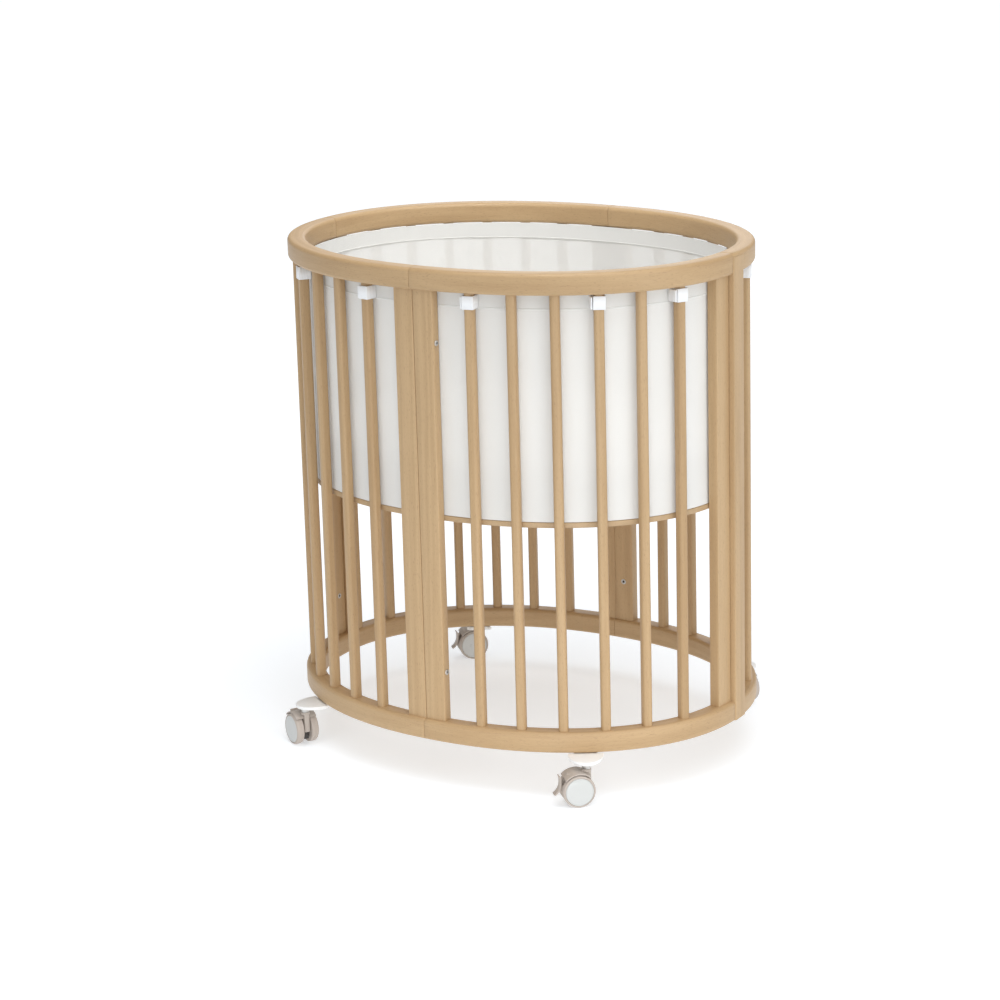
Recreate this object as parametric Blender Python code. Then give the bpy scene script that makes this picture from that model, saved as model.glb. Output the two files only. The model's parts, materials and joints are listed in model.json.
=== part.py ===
"""Oval baby crib on four twin-wheel casters, modelled as separate named parts.

The frame is four quarter panels joined at the ends of the oval's two axes. Each panel has a
top rail, a bottom rail, six slats and an end board on either side. +X runs along the crib,
+Y to its back, and the wheels stand on z = 0. All lengths are in metres.
"""
import math

import bmesh
import bpy
import numpy as np
from mathutils import Matrix, Vector

# Oval plan of the rails, measured to their outer face
HALF_LENGTH = 0.405
HALF_WIDTH = 0.321
ROUNDNESS = 2.12
GAP = 0.0003

# Rails
RAIL_WIDTH = 0.031
RAIL_HEIGHT = 0.035
RAIL_ROUND = 0.008
RAIL_STATIONS = 16
TOTAL_HEIGHT = 0.861
RAIL_UNDERSIDE = 0.074
SEAM = 0.0006

# Uprights
SLAT_WIDTH = 0.016
SLAT_DEPTH = 0.017
SLAT_ROUND = 0.0055
SLAT_INSET = 0.0160
SLATS_PER_PANEL = 6
FIRST_SLAT = 0.099
SLAT_PITCH = 0.0686
BOARD_WIDTH = 0.0350
BOARD_DEPTH = 0.018
BOARD_INSET = 0.0172
BOARD_EDGE = 0.0022

# Mattress base, mattress and fabric liner
BASE_INSET = 0.0272
BASE_THICKNESS = 0.009
BASE_UNDERSIDE = 0.4450
MATTRESS_INSET = 0.0315
MATTRESS_HEIGHT = 0.090
MATTRESS_ROUND = 0.018
LINER_INSET = 0.0275
LINER_WALL = 0.0016
LINER_TOP = 0.8250
OVAL_STEPS = 48

# Casters
CASTER_X = 0.281
CASTER_Y = 0.2725
BRACKET_HALF = 0.0290
BRACKET_NOSE = 0.0150
BRACKET_SHOULDER = 0.0270
BRACKET_RIM = 0.0040
BRACKET_DEPTH = 0.0065
BRACKET_ARM = 0.0385
BRACKET_REACH = 0.056
PIN_RADIUS = 0.0045
PIN_HEIGHT = 0.0050
WHEEL_RADIUS = 0.027
WHEEL_OUTER = 0.0205
WHEEL_INNER = 0.0068
TRAIL = 0.016
AXLE_RADIUS = 0.0030
WEB_HALF = 0.0045
TONGUE_HALF = 0.0018
HOOD_INNER = 0.0285
HOOD_OUTER = 0.0305
HOOD_HALF = 0.0190
HINGE_TRAIL = 0.0215
HINGE_HEIGHT = 0.0300
HINGE_PIN = 0.0016
PEDAL_HALF = 0.0013

# Panel key, sign of x, sign of y and the heading its caster trails towards, in degrees
PANELS = (
    ("front_right", 1, -1, 225.8),
    ("front_left", -1, -1, 152.0),
    ("back_left", -1, 1, 225.8),
    ("back_right", 1, 1, 152.0),
)

WOOD = (0.55, 0.38, 0.22)
WHITE = (0.88, 0.88, 0.87)
TAUPE = (0.42, 0.36, 0.31)
FABRIC = (0.90, 0.89, 0.87)


def clear_scene():
    """Remove every object."""
    for item in list(bpy.data.objects):
        bpy.data.objects.remove(item, do_unlink=True)


def finish(name, mesh, colour, roughness, smooth=False):
    """Wrap a mesh in an object with its own material."""
    part = bpy.data.objects.new(name, mesh)
    bpy.context.collection.objects.link(part)
    material = bpy.data.materials.new(name + "_material")
    material.use_nodes = True
    shader = material.node_tree.nodes["Principled BSDF"]
    shader.inputs["Base Color"].default_value = (*colour, 1.0)
    shader.inputs["Roughness"].default_value = roughness
    mesh.materials.append(material)
    for face in mesh.polygons:
        face.use_smooth = smooth
    return part


def to_mesh(name, form):
    """Turn a bmesh into a closed mesh that faces outwards."""
    bmesh.ops.recalc_face_normals(form, faces=form.faces)
    mesh = bpy.data.meshes.new(name)
    form.to_mesh(mesh)
    form.free()
    return mesh


def oval_point(angle, inset):
    """Point of the oval drawn parallel to the outer face, at a polar angle."""
    half_x = HALF_LENGTH - inset
    half_y = HALF_WIDTH - inset
    across = abs(math.cos(angle) / half_x) ** ROUNDNESS
    along = abs(math.sin(angle) / half_y) ** ROUNDNESS
    radius = (across + along) ** (-1.0 / ROUNDNESS)
    return np.array((radius * math.cos(angle), radius * math.sin(angle)))


def quarter_walk(inset, steps=2000):
    """Points and running lengths along one quarter, from the y axis to the x axis."""
    angles = np.linspace(math.pi / 2, 0.0, steps + 1)
    points = np.array([oval_point(angle, inset) for angle in angles])
    strides = np.linalg.norm(np.diff(points, axis=0), axis=1)
    return points, np.concatenate(((0.0,), np.cumsum(strides)))


def place_on_quarter(walk, distance):
    """Position and outward normal at a distance walked from the y axis."""
    points, lengths = walk
    spot = np.array([np.interp(distance, lengths, points[:, axis]) for axis in (0, 1)])
    ahead = np.array([np.interp(distance + 0.0005, lengths, points[:, axis]) for axis in (0, 1)])
    behind = np.array([np.interp(distance - 0.0005, lengths, points[:, axis]) for axis in (0, 1)])
    tangent = (ahead - behind) / np.linalg.norm(ahead - behind)
    return spot, np.array((-tangent[1], tangent[0]))


def mirrored(spot, normal, sign_x, sign_y):
    """Carry a position and normal into another quarter of the plan."""
    signs = np.array((sign_x, sign_y))
    return spot * signs, normal * signs


def rounded_outline(width, height, radius, steps):
    """Corner points of a rounded rectangle centred on the origin."""
    outline = []
    corners = ((1, 1, 0), (-1, 1, 90), (-1, -1, 180), (1, -1, 270))
    for side_x, side_y, start in corners:
        centre_x = side_x * (width / 2 - radius)
        centre_y = side_y * (height / 2 - radius)
        for step in range(steps + 1):
            turn = math.radians(start + 90.0 * step / steps)
            outline.append((centre_x + radius * math.cos(turn), centre_y + radius * math.sin(turn)))
    return outline


def skin_rings(form, rings, looped=False):
    """Join a run of equal rings into a tube, capped at both ends unless it is looped."""
    count = len(rings[0])
    pairs = list(zip(rings, rings[1:]))
    if looped:
        pairs.append((rings[-1], rings[0]))
    for near, far in pairs:
        for index in range(count):
            after = (index + 1) % count
            form.faces.new((near[index], near[after], far[after], far[index]))
    if not looped:
        form.faces.new(rings[0])
        form.faces.new(rings[-1])


def build_rail(name, sign_x, sign_y, centre_z):
    """One quarter of an oval rail, ending half a seam short of both axes."""
    walk = quarter_walk(RAIL_WIDTH / 2)
    total = walk[1][-1]
    section = rounded_outline(RAIL_WIDTH, RAIL_HEIGHT, RAIL_ROUND, 2)
    form = bmesh.new()
    rings = []
    for station in np.linspace(SEAM, total - SEAM, RAIL_STATIONS + 1):
        spot, normal = mirrored(*place_on_quarter(walk, station), sign_x, sign_y)
        if station == SEAM:
            normal = np.array((0.0, float(sign_y)))
        if station == total - SEAM:
            normal = np.array((float(sign_x), 0.0))
        rings.append([form.verts.new((*(spot + normal * out), centre_z + up)) for out, up in section])
    skin_rings(form, rings)
    return finish(name, to_mesh(name, form), WOOD, 0.5)


def upright_placement(spot, normal):
    """Matrix that stands a part on the plan with its +Y side facing outwards."""
    heading = math.atan2(normal[1], normal[0]) - math.pi / 2
    return Matrix.Translation((spot[0], spot[1], 0.0)) @ Matrix.Rotation(heading, 4, "Z")


def build_slat(name, placement):
    """Slat with strongly rounded edges, standing between the two rails."""
    low = RAIL_UNDERSIDE + RAIL_HEIGHT + GAP
    high = TOTAL_HEIGHT - RAIL_HEIGHT - GAP
    outline = rounded_outline(SLAT_WIDTH, SLAT_DEPTH, SLAT_ROUND, 2)
    form = bmesh.new()
    rings = [[form.verts.new((x, y, z)) for x, y in outline] for z in (low, high)]
    skin_rings(form, rings)
    bmesh.ops.transform(form, matrix=placement, verts=form.verts)
    return finish(name, to_mesh(name, form), WOOD, 0.5)


def build_board(name, placement):
    """Wide board that closes the side of a panel beside a joint."""
    low = RAIL_UNDERSIDE + RAIL_HEIGHT + GAP
    high = TOTAL_HEIGHT - RAIL_HEIGHT - GAP
    form = bmesh.new()
    bmesh.ops.create_cube(form, size=1.0)
    bmesh.ops.scale(form, vec=(BOARD_WIDTH, BOARD_DEPTH, high - low), verts=form.verts)
    bmesh.ops.translate(form, vec=(0.0, 0.0, (low + high) / 2), verts=form.verts)
    bmesh.ops.transform(form, matrix=placement, verts=form.verts)
    part = finish(name, to_mesh(name, form), WOOD, 0.5)
    bevel = part.modifiers.new("eased_edges", "BEVEL")
    bevel.width = BOARD_EDGE
    bevel.segments = 1
    return part


def build_uprights(key, sign_x, sign_y):
    """Six slats and the two end boards of one panel."""
    walk = quarter_walk(SLAT_INSET)
    for index in range(SLATS_PER_PANEL):
        place = place_on_quarter(walk, FIRST_SLAT + index * SLAT_PITCH)
        placement = upright_placement(*mirrored(*place, sign_x, sign_y))
        build_slat(f"slat_{key}_{index + 1}", placement)
    walk = quarter_walk(BOARD_INSET)
    margin = BOARD_WIDTH / 2 + 0.0013
    for label, distance in (("mid", margin), ("end", walk[1][-1] - margin)):
        place = place_on_quarter(walk, distance)
        placement = upright_placement(*mirrored(*place, sign_x, sign_y))
        build_board(f"board_{key}_{label}", placement)


def oval_ring(form, inset, z):
    """Ring of vertices round the oval."""
    angles = np.linspace(0.0, 2 * math.pi, OVAL_STEPS, endpoint=False)
    return [form.verts.new((*oval_point(angle, inset), z)) for angle in angles]


def build_base():
    """Thin wooden board that carries the mattress."""
    form = bmesh.new()
    ease = 0.002
    top = BASE_UNDERSIDE + BASE_THICKNESS
    levels = (
        (BASE_INSET + ease, BASE_UNDERSIDE),
        (BASE_INSET, BASE_UNDERSIDE + ease),
        (BASE_INSET, top - ease),
        (BASE_INSET + ease, top),
    )
    skin_rings(form, [oval_ring(form, inset, z) for inset, z in levels])
    return finish("mattress_base", to_mesh("mattress_base", form), WOOD, 0.55)


def build_mattress():
    """Oval mattress with rounded upper and lower edges."""
    form = bmesh.new()
    low = BASE_UNDERSIDE + BASE_THICKNESS + GAP
    high = low + MATTRESS_HEIGHT
    rings = []
    for centre_z, start in ((low + MATTRESS_ROUND, -90), (high - MATTRESS_ROUND, 0)):
        for step in range(4):
            turn = math.radians(start + 30 * step)
            inset = MATTRESS_INSET + MATTRESS_ROUND * (1.0 - math.cos(turn))
            rings.append(oval_ring(form, inset, centre_z + MATTRESS_ROUND * math.sin(turn)))
    skin_rings(form, rings)
    return finish("mattress", to_mesh("mattress", form), FABRIC, 0.9, smooth=True)


def build_liner():
    """Fabric liner: an open oval tube hung inside the slats."""
    form = bmesh.new()
    low = BASE_UNDERSIDE + BASE_THICKNESS + GAP
    corners = (
        (LINER_INSET, low),
        (LINER_INSET, LINER_TOP),
        (LINER_INSET + LINER_WALL, LINER_TOP),
        (LINER_INSET + LINER_WALL, low),
    )
    skin_rings(form, [oval_ring(form, inset, z) for inset, z in corners], looped=True)
    return finish("liner", to_mesh("liner", form), FABRIC, 0.9, smooth=True)


def lathe(profile, axis, steps):
    """Closed solid of revolution about an axis through the origin.

    The profile lists (radius, height) pairs from one pole to the other.
    """
    form = bmesh.new()
    poles = [form.verts.new((0.0, 0.0, profile[0][1])), form.verts.new((0.0, 0.0, profile[-1][1]))]
    rings = []
    for radius, height in profile[1:-1]:
        ring = []
        for step in range(steps):
            turn = 2 * math.pi * step / steps
            ring.append(form.verts.new((radius * math.cos(turn), radius * math.sin(turn), height)))
        rings.append(ring)
    for near, far in zip(rings, rings[1:]):
        for index in range(steps):
            after = (index + 1) % steps
            form.faces.new((near[index], near[after], far[after], far[index]))
    for pole, ring in zip(poles, (rings[0], rings[-1])):
        for index in range(steps):
            form.faces.new((pole, ring[index], ring[(index + 1) % steps]))
    if axis == "X":
        bmesh.ops.rotate(form, matrix=Matrix.Rotation(math.pi / 2, 3, "Y"), verts=form.verts)
    return form


def prism(outline, half_depth):
    """Solid whose outline lies in the local YZ plane, thickened along X."""
    form = bmesh.new()
    rings = [[form.verts.new((x, y, z)) for y, z in outline] for x in (-half_depth, half_depth)]
    skin_rings(form, rings)
    return form


def slab(outline, low, high):
    """Solid whose outline lies in plan, between two heights."""
    form = bmesh.new()
    rings = [[form.verts.new((x, y, z)) for x, y in outline] for z in (low, high)]
    skin_rings(form, rings)
    return form


def combine(part, form, operation):
    """Join a tool shape to a part, or cut it away, with an exact boolean."""
    mesh = to_mesh("tool", form)
    tool = bpy.data.objects.new("tool", mesh)
    bpy.context.collection.objects.link(tool)
    tool.matrix_world = part.matrix_world
    step = part.modifiers.new(operation.lower(), "BOOLEAN")
    step.operation = operation
    step.solver = "EXACT"
    step.object = tool
    bpy.context.view_layer.update()
    graph = bpy.context.evaluated_depsgraph_get()
    result = bpy.data.meshes.new_from_object(part.evaluated_get(graph))
    part.modifiers.clear()
    part.data = result
    bpy.data.objects.remove(tool, do_unlink=True)


def arc(radius, start, end, steps, centre=(0.0, 0.0)):
    """Points on an arc, angles in degrees."""
    turns = np.radians(np.linspace(start, end, steps + 1))
    return [(centre[0] + radius * math.cos(turn), centre[1] + radius * math.sin(turn)) for turn in turns]


def nose_outline(inset):
    """Plan of the bracket's rounded nose, from its right shoulder round to its left one."""
    half = BRACKET_HALF - inset
    reach = BRACKET_SHOULDER + BRACKET_NOSE - inset
    turns = [math.radians(180.0 * step / 16) for step in range(17)]
    return [(half * math.cos(t), reach * math.sin(t) - BRACKET_SHOULDER) for t in turns]


def build_bracket(key, sign_x, sign_y):
    """White bracket under the bottom rail: a half-oval plate on an arm, with a socket."""
    name = f"bracket_{key}"
    top = RAIL_UNDERSIDE - GAP
    low = top - BRACKET_DEPTH
    form = bmesh.new()
    levels = ((0.0, top), (0.0, top - BRACKET_RIM), (0.0035, low))
    rings = []
    for inset, z in levels:
        outline = nose_outline(inset)
        half = BRACKET_ARM / 2 - inset
        back = BRACKET_REACH - inset
        outline += [(-half, -BRACKET_SHOULDER - 0.0080), (-half, -back + 0.006)]
        outline += [(-half + 0.006, -back), (half - 0.006, -back)]
        outline += [(half, -back + 0.006), (half, -BRACKET_SHOULDER - 0.0080)]
        rings.append([form.verts.new((x, y, z)) for x, y in outline])
    skin_rings(form, rings)
    part = finish(name, to_mesh(name, form), WHITE, 0.35)
    socket = PIN_RADIUS + GAP
    ceiling = low + PIN_HEIGHT + 2 * GAP
    bore = ((0.0, low - 0.002), (socket, low - 0.002), (socket, ceiling), (0.0, ceiling))
    combine(part, lathe(bore, "Z", 20), "DIFFERENCE")
    part.location = (sign_x * CASTER_X, sign_y * CASTER_Y, 0.0)
    part.rotation_euler = (0.0, 0.0, bracket_heading(sign_x, sign_y))
    return part


def bracket_heading(sign_x, sign_y):
    """Turn that points a bracket's +Y side squarely away from the rail."""
    walk = quarter_walk(0.0)
    offsets = np.linalg.norm(walk[0] - np.array((CASTER_X, CASTER_Y)), axis=1)
    _, normal = mirrored(*place_on_quarter(walk, walk[1][offsets.argmin()]), sign_x, sign_y)
    return math.atan2(normal[1], normal[0]) - math.pi / 2


def web_outline():
    """Side view of the plate between the wheels, from the pin round to the hood."""
    outline = [(-0.0070, 0.0585), (-0.0070, 0.0500)]
    outline += arc(0.0100, 200.0, 330.0, 6, (TRAIL, WHEEL_RADIUS))
    outline += [(TRAIL + 0.0180, 0.0400), (TRAIL + 0.0225, 0.0445)]
    outline += arc(HOOD_OUTER - 0.0006, 42.0, 90.0, 5, (TRAIL, WHEEL_RADIUS))
    outline += [(0.0070, 0.0585)]
    return outline


def hood_outline():
    """Side view of the curved cover over both wheels."""
    outer = arc(HOOD_OUTER, 42.0, 132.0, 8, (TRAIL, WHEEL_RADIUS))
    inner = arc(HOOD_INNER, 132.0, 42.0, 8, (TRAIL, WHEEL_RADIUS))
    return outer + inner


def build_swivel(key, sign_x, sign_y, heading):
    """Swivelling body of a caster: pin, hood and plate, with holes for axle and brake hinge."""
    name = f"swivel_{key}"
    low = RAIL_UNDERSIDE - GAP - BRACKET_DEPTH
    collar = low - GAP
    stem = (
        (0.0, 0.0553),
        (0.0080, 0.0553),
        (0.0080, collar),
        (PIN_RADIUS, collar),
        (PIN_RADIUS, low + PIN_HEIGHT),
        (0.0, low + PIN_HEIGHT),
    )
    part = finish(name, to_mesh(name, lathe(stem, "Z", 14)), TAUPE, 0.45)
    combine(part, prism(web_outline(), WEB_HALF), "UNION")
    combine(part, prism(hood_outline(), HOOD_HALF), "UNION")
    tongue = arc(0.0042, -110.0, 110.0, 8, (TRAIL + HINGE_TRAIL, HINGE_HEIGHT))
    tongue += [(TRAIL + 0.0085, HINGE_HEIGHT + 0.0040), (TRAIL + 0.0085, HINGE_HEIGHT - 0.0040)]
    combine(part, prism(tongue, TONGUE_HALF), "UNION")
    for radius, trail, height in (
        (AXLE_RADIUS + GAP, TRAIL, WHEEL_RADIUS),
        (HINGE_PIN + GAP, TRAIL + HINGE_TRAIL, HINGE_HEIGHT),
    ):
        combine(part, prism(arc(radius, 0.0, 340.0, 17, (trail, height)), 0.02), "DIFFERENCE")
    stand_caster(part, sign_x, sign_y, heading, (0.0, 0.0, 0.0))
    return part


def stand_caster(part, sign_x, sign_y, heading, origin):
    """Put a caster part under the crib, turned so its trail (+Y) points along the heading."""
    turn = Matrix.Rotation(math.radians(heading - 90.0), 4, "Z")
    shift = turn @ Vector(origin)
    part.data.transform(Matrix.Translation(-Vector(origin)))
    part.location = (sign_x * CASTER_X + shift.x, sign_y * CASTER_Y + shift.y, shift.z)
    part.rotation_euler = (0.0, 0.0, math.radians(heading - 90.0))


def build_wheels(key, sign_x, sign_y, heading):
    """Both wheels of a caster on their shared axle."""
    name = f"wheels_{key}"
    half = (
        (0.0, WHEEL_OUTER),
        (WHEEL_RADIUS - 0.0030, WHEEL_OUTER),
        (WHEEL_RADIUS, WHEEL_OUTER - 0.0040),
        (WHEEL_RADIUS, WHEEL_INNER + 0.0014),
        (WHEEL_RADIUS - 0.0014, WHEEL_INNER),
        (AXLE_RADIUS, WHEEL_INNER),
    )
    profile = list(half) + [(radius, -height) for radius, height in reversed(half)]
    part = finish(name, to_mesh(name, lathe(profile, "X", 28)), TAUPE, 0.5)
    part.data.transform(Matrix.Translation((0.0, TRAIL, WHEEL_RADIUS)))
    stand_caster(part, sign_x, sign_y, heading, (0.0, TRAIL, WHEEL_RADIUS))
    return part


def build_brake(key, sign_x, sign_y, heading):
    """Brake pedal: a forked arm on its own pin, ending in an upright foot plate."""
    name = f"brake_{key}"
    rear = TRAIL + HINGE_TRAIL
    cheek = arc(0.0038, 120.0, 270.0, 6, (rear, HINGE_HEIGHT))
    cheek += [(rear + 0.0130, HINGE_HEIGHT - 0.0065), (rear + 0.0085, HINGE_HEIGHT + 0.0015)]
    cheek += [(rear + 0.0050, HINGE_HEIGHT + 0.0030)]
    part = finish(name, to_mesh(name, prism(cheek, 0.0042)), TAUPE, 0.45)
    slot = [(rear - 0.0070, HINGE_HEIGHT - 0.0100), (rear + 0.0060, HINGE_HEIGHT - 0.0100)]
    slot += [(rear + 0.0060, HINGE_HEIGHT + 0.0100), (rear - 0.0070, HINGE_HEIGHT + 0.0100)]
    combine(part, prism(slot, TONGUE_HALF + 0.0004), "DIFFERENCE")
    combine(part, prism(arc(HINGE_PIN, 0.0, 330.0, 11, (rear, HINGE_HEIGHT)), 0.0038), "UNION")
    line = [(0.0087, 0.0518), (0.0065, 0.0465), (0.0063, 0.0410), (0.0070, 0.0345)]
    line += [(0.0090, 0.0290), (0.0125, 0.0240), (0.0173, 0.0205)]
    plate = [(rear + out - PEDAL_HALF, z) for out, z in line]
    plate += [(rear + out + PEDAL_HALF, z) for out, z in reversed(line)]
    combine(part, prism(plate, 0.0080), "UNION")
    stand_caster(part, sign_x, sign_y, heading, (0.0, rear, HINGE_HEIGHT))
    return part


def build_crib():
    """Make every part of the crib."""
    clear_scene()
    top = TOTAL_HEIGHT - RAIL_HEIGHT / 2
    bottom = RAIL_UNDERSIDE + RAIL_HEIGHT / 2
    for key, sign_x, sign_y, heading in PANELS:
        build_rail(f"top_rail_{key}", sign_x, sign_y, top)
        build_rail(f"bottom_rail_{key}", sign_x, sign_y, bottom)
        build_uprights(key, sign_x, sign_y)
        build_bracket(key, sign_x, sign_y)
        build_swivel(key, sign_x, sign_y, heading)
        build_wheels(key, sign_x, sign_y, heading)
        build_brake(key, sign_x, sign_y, heading)
    build_base()
    build_mattress()
    build_liner()


build_crib()
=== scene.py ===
"""Finished look of an oval baby crib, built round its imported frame.

The frame gives every place and size. This script adds the fine surfaces: bent beech rails,
rounded slats, the mattress with its piping, the sheer liner with its band and loops, the
joint hardware and the casters. +X runs along the crib and +Y to its back, in metres.
"""
from __future__ import annotations

import json
import logging
import math
from dataclasses import dataclass, field
from enum import Enum
from typing import Any, Callable, Iterable, Sequence

import bmesh
import bpy
import numpy as np
from mathutils import Matrix, Vector, noise

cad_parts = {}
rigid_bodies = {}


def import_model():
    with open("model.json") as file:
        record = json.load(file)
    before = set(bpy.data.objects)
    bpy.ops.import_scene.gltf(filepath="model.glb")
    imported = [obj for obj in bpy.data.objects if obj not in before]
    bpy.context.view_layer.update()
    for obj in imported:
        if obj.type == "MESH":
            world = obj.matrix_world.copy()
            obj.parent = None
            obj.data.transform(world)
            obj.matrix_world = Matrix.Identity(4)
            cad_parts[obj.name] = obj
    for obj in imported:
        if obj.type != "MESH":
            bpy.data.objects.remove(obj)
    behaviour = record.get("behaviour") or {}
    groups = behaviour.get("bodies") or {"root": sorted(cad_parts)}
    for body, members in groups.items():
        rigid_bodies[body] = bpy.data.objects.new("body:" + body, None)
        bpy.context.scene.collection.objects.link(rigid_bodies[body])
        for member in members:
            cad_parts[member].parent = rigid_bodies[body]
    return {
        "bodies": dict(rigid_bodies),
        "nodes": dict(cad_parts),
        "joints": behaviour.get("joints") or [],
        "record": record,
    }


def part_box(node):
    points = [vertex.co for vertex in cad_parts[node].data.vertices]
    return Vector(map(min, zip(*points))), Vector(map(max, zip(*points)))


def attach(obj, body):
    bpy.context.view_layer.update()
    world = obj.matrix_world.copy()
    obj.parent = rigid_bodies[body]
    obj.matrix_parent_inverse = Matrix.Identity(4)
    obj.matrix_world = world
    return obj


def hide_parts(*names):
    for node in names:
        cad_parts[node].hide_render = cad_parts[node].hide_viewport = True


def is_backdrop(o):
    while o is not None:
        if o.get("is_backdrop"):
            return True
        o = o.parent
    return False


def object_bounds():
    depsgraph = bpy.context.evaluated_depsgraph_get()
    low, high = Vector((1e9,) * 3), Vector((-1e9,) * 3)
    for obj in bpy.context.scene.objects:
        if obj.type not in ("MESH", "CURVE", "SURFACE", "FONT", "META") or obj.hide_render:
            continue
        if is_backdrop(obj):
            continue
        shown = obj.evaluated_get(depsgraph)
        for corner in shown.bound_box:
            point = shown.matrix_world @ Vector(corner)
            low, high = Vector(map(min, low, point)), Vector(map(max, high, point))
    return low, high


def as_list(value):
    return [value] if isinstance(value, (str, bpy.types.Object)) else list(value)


LOG = logging.getLogger("crib")

Colour = tuple[float, float, float]
ROUNDNESS = 2.12
ROOT_BODY = "crib_frame"
SHARP_DEGREES = 60.0


class Corner(Enum):
    """The four quarters of the crib, with the signs of x and y."""

    FRONT_RIGHT = ("front_right", 1, -1)
    FRONT_LEFT = ("front_left", -1, -1)
    BACK_LEFT = ("back_left", -1, 1)
    BACK_RIGHT = ("back_right", 1, 1)

    @property
    def key(self) -> str:
        """Name used in the frame's nodes and bodies."""
        return self.value[0]

    @property
    def signs(self) -> tuple[int, int]:
        """Signs of x and y in this quarter."""
        return self.value[1], self.value[2]


class Grain(Enum):
    """How the wood's grain runs through a piece."""

    UPRIGHT = "upright"
    BENT = "bent"
    FLAT = "flat"


# ---------------------------------------------------------------- modelling by hand


def deselect() -> None:
    """Leave nothing selected, in object mode."""
    if bpy.context.object and bpy.context.object.mode != "OBJECT":
        bpy.ops.object.mode_set(mode="OBJECT")
    bpy.ops.object.select_all(action="DESELECT")


def pick(piece: bpy.types.Object) -> bpy.types.Object:
    """Select one piece alone and make it active.

    Args:
        piece: The piece to select.

    Returns:
        The same piece.
    """
    deselect()
    piece.select_set(True)
    bpy.context.view_layer.objects.active = piece
    return piece


def named(name: str) -> bpy.types.Object:
    """Name the piece that was just added.

    Args:
        name: Name for the object and its mesh.

    Returns:
        The active object.
    """
    piece = bpy.context.object
    piece.name = name
    piece.data.name = name
    return piece


def settle(piece: bpy.types.Object) -> bpy.types.Object:
    """Move a piece's place, turn and scale into its mesh.

    Args:
        piece: The piece to settle.

    Returns:
        The same piece, at the origin.
    """
    pick(piece)
    bpy.ops.object.transform_apply(location=True, rotation=True, scale=True)
    return piece


def place(piece: bpy.types.Object, matrix: Matrix) -> bpy.types.Object:
    """Carry a piece's mesh to its place.

    Args:
        piece: A piece modelled about the origin.
        matrix: Where it goes.

    Returns:
        The same piece, at the origin with its place in its mesh.
    """
    piece.matrix_world = matrix
    return settle(piece)


def copy_of(piece: bpy.types.Object, name: str) -> bpy.types.Object:
    """Duplicate a piece with a mesh of its own.

    Args:
        piece: The piece to copy.
        name: Name of the copy.

    Returns:
        The copy.
    """
    pick(piece)
    bpy.ops.object.duplicate()
    return named(name)


def remove(piece: bpy.types.Object) -> None:
    """Delete a helper piece."""
    bpy.data.objects.remove(piece, do_unlink=True)


def choose(
    piece: bpy.types.Object,
    faces: Callable[[Any], bool] | None = None,
    edges: Callable[[Any], bool] | None = None,
) -> None:
    """Enter edit mode and select faces or edges by their place or normal.

    Args:
        piece: The piece to edit.
        faces: Test for the faces to select.
        edges: Test for the edges to select.
    """
    if piece.mode != "EDIT":
        pick(piece)
        bpy.ops.object.mode_set(mode="EDIT")
    bpy.ops.mesh.select_mode(type="FACE" if faces else "EDGE")
    bpy.ops.mesh.select_all(action="DESELECT")
    form = bmesh.from_edit_mesh(piece.data)
    if faces:
        for face in form.faces:
            face.select_set(bool(faces(face)))
    if edges:
        for edge in form.edges:
            edge.select_set(bool(edges(edge)))
    bmesh.update_edit_mesh(piece.data)


def open_edit() -> None:
    """Enter edit mode with everything selected."""
    bpy.ops.object.mode_set(mode="EDIT")
    bpy.ops.mesh.select_all(action="SELECT")


def extrude(step: Sequence[float]) -> None:
    """Extrude the selection by a step."""
    bpy.ops.mesh.extrude_region_move(TRANSFORM_OT_translate={"value": step})


def close_edit() -> None:
    """Turn all faces outwards and go back to object mode."""
    bpy.ops.mesh.select_all(action="SELECT")
    bpy.ops.mesh.remove_doubles(threshold=0.00001)
    bpy.ops.mesh.normals_make_consistent(inside=False)
    bpy.ops.object.mode_set(mode="OBJECT")


def upright_edge(edge: Any) -> bool:
    """True for an edge that runs along Z."""
    low, high = (vert.co for vert in edge.verts)
    run = high - low
    return abs(run.z) > 0.9 * run.length


def apply_modifier(piece: bpy.types.Object, kind: str, **values: Any) -> None:
    """Add a modifier and apply it.

    Args:
        piece: The piece to change.
        kind: The modifier's type.
        values: Its settings.
    """
    pick(piece)
    step = piece.modifiers.new(kind.lower(), kind)
    for key, value in values.items():
        setattr(step, key, value)
    bpy.ops.object.modifier_apply(modifier=step.name)


def ease_sharp(piece: bpy.types.Object, offset: float, degrees: float = SHARP_DEGREES) -> None:
    """Round every edge that turns by more than an angle, and leave edit mode."""
    choose(piece, edges=lambda edge: edge.calc_face_angle(0.0) > math.radians(degrees))
    bpy.ops.mesh.bevel(offset=offset, segments=2, affect="EDGES")
    close_edit()


def combine(piece: bpy.types.Object, operation: str, other: bpy.types.Object) -> None:
    """Add, cut or intersect a piece with another one, which is used up.

    Args:
        piece: The piece that stays.
        operation: The boolean operation.
        other: The piece that is used up.
    """
    apply_modifier(piece, "BOOLEAN", operation=operation, solver="EXACT", object=other)
    remove(other)


def turn_by(degrees: float, axis: str) -> Matrix:
    """Rotation by an angle in degrees about an axis."""
    return Matrix.Rotation(math.radians(degrees), 4, axis)


def smooth(piece: bpy.types.Object, angle: float = 35.0) -> bpy.types.Object:
    """Shade a piece smooth, with sharp edges above an angle in degrees."""
    pick(piece)
    bpy.ops.object.shade_smooth_by_angle(angle=math.radians(angle))
    return piece


def merge(pieces: Sequence[bpy.types.Object], name: str) -> bpy.types.Object:
    """Join several shapes into one piece.

    Args:
        pieces: The shapes to join.
        name: Name of the result.

    Returns:
        The joined piece.
    """
    pick(pieces[0])
    for piece in pieces:
        piece.select_set(True)
    bpy.ops.object.join()
    return named(name)


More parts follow.
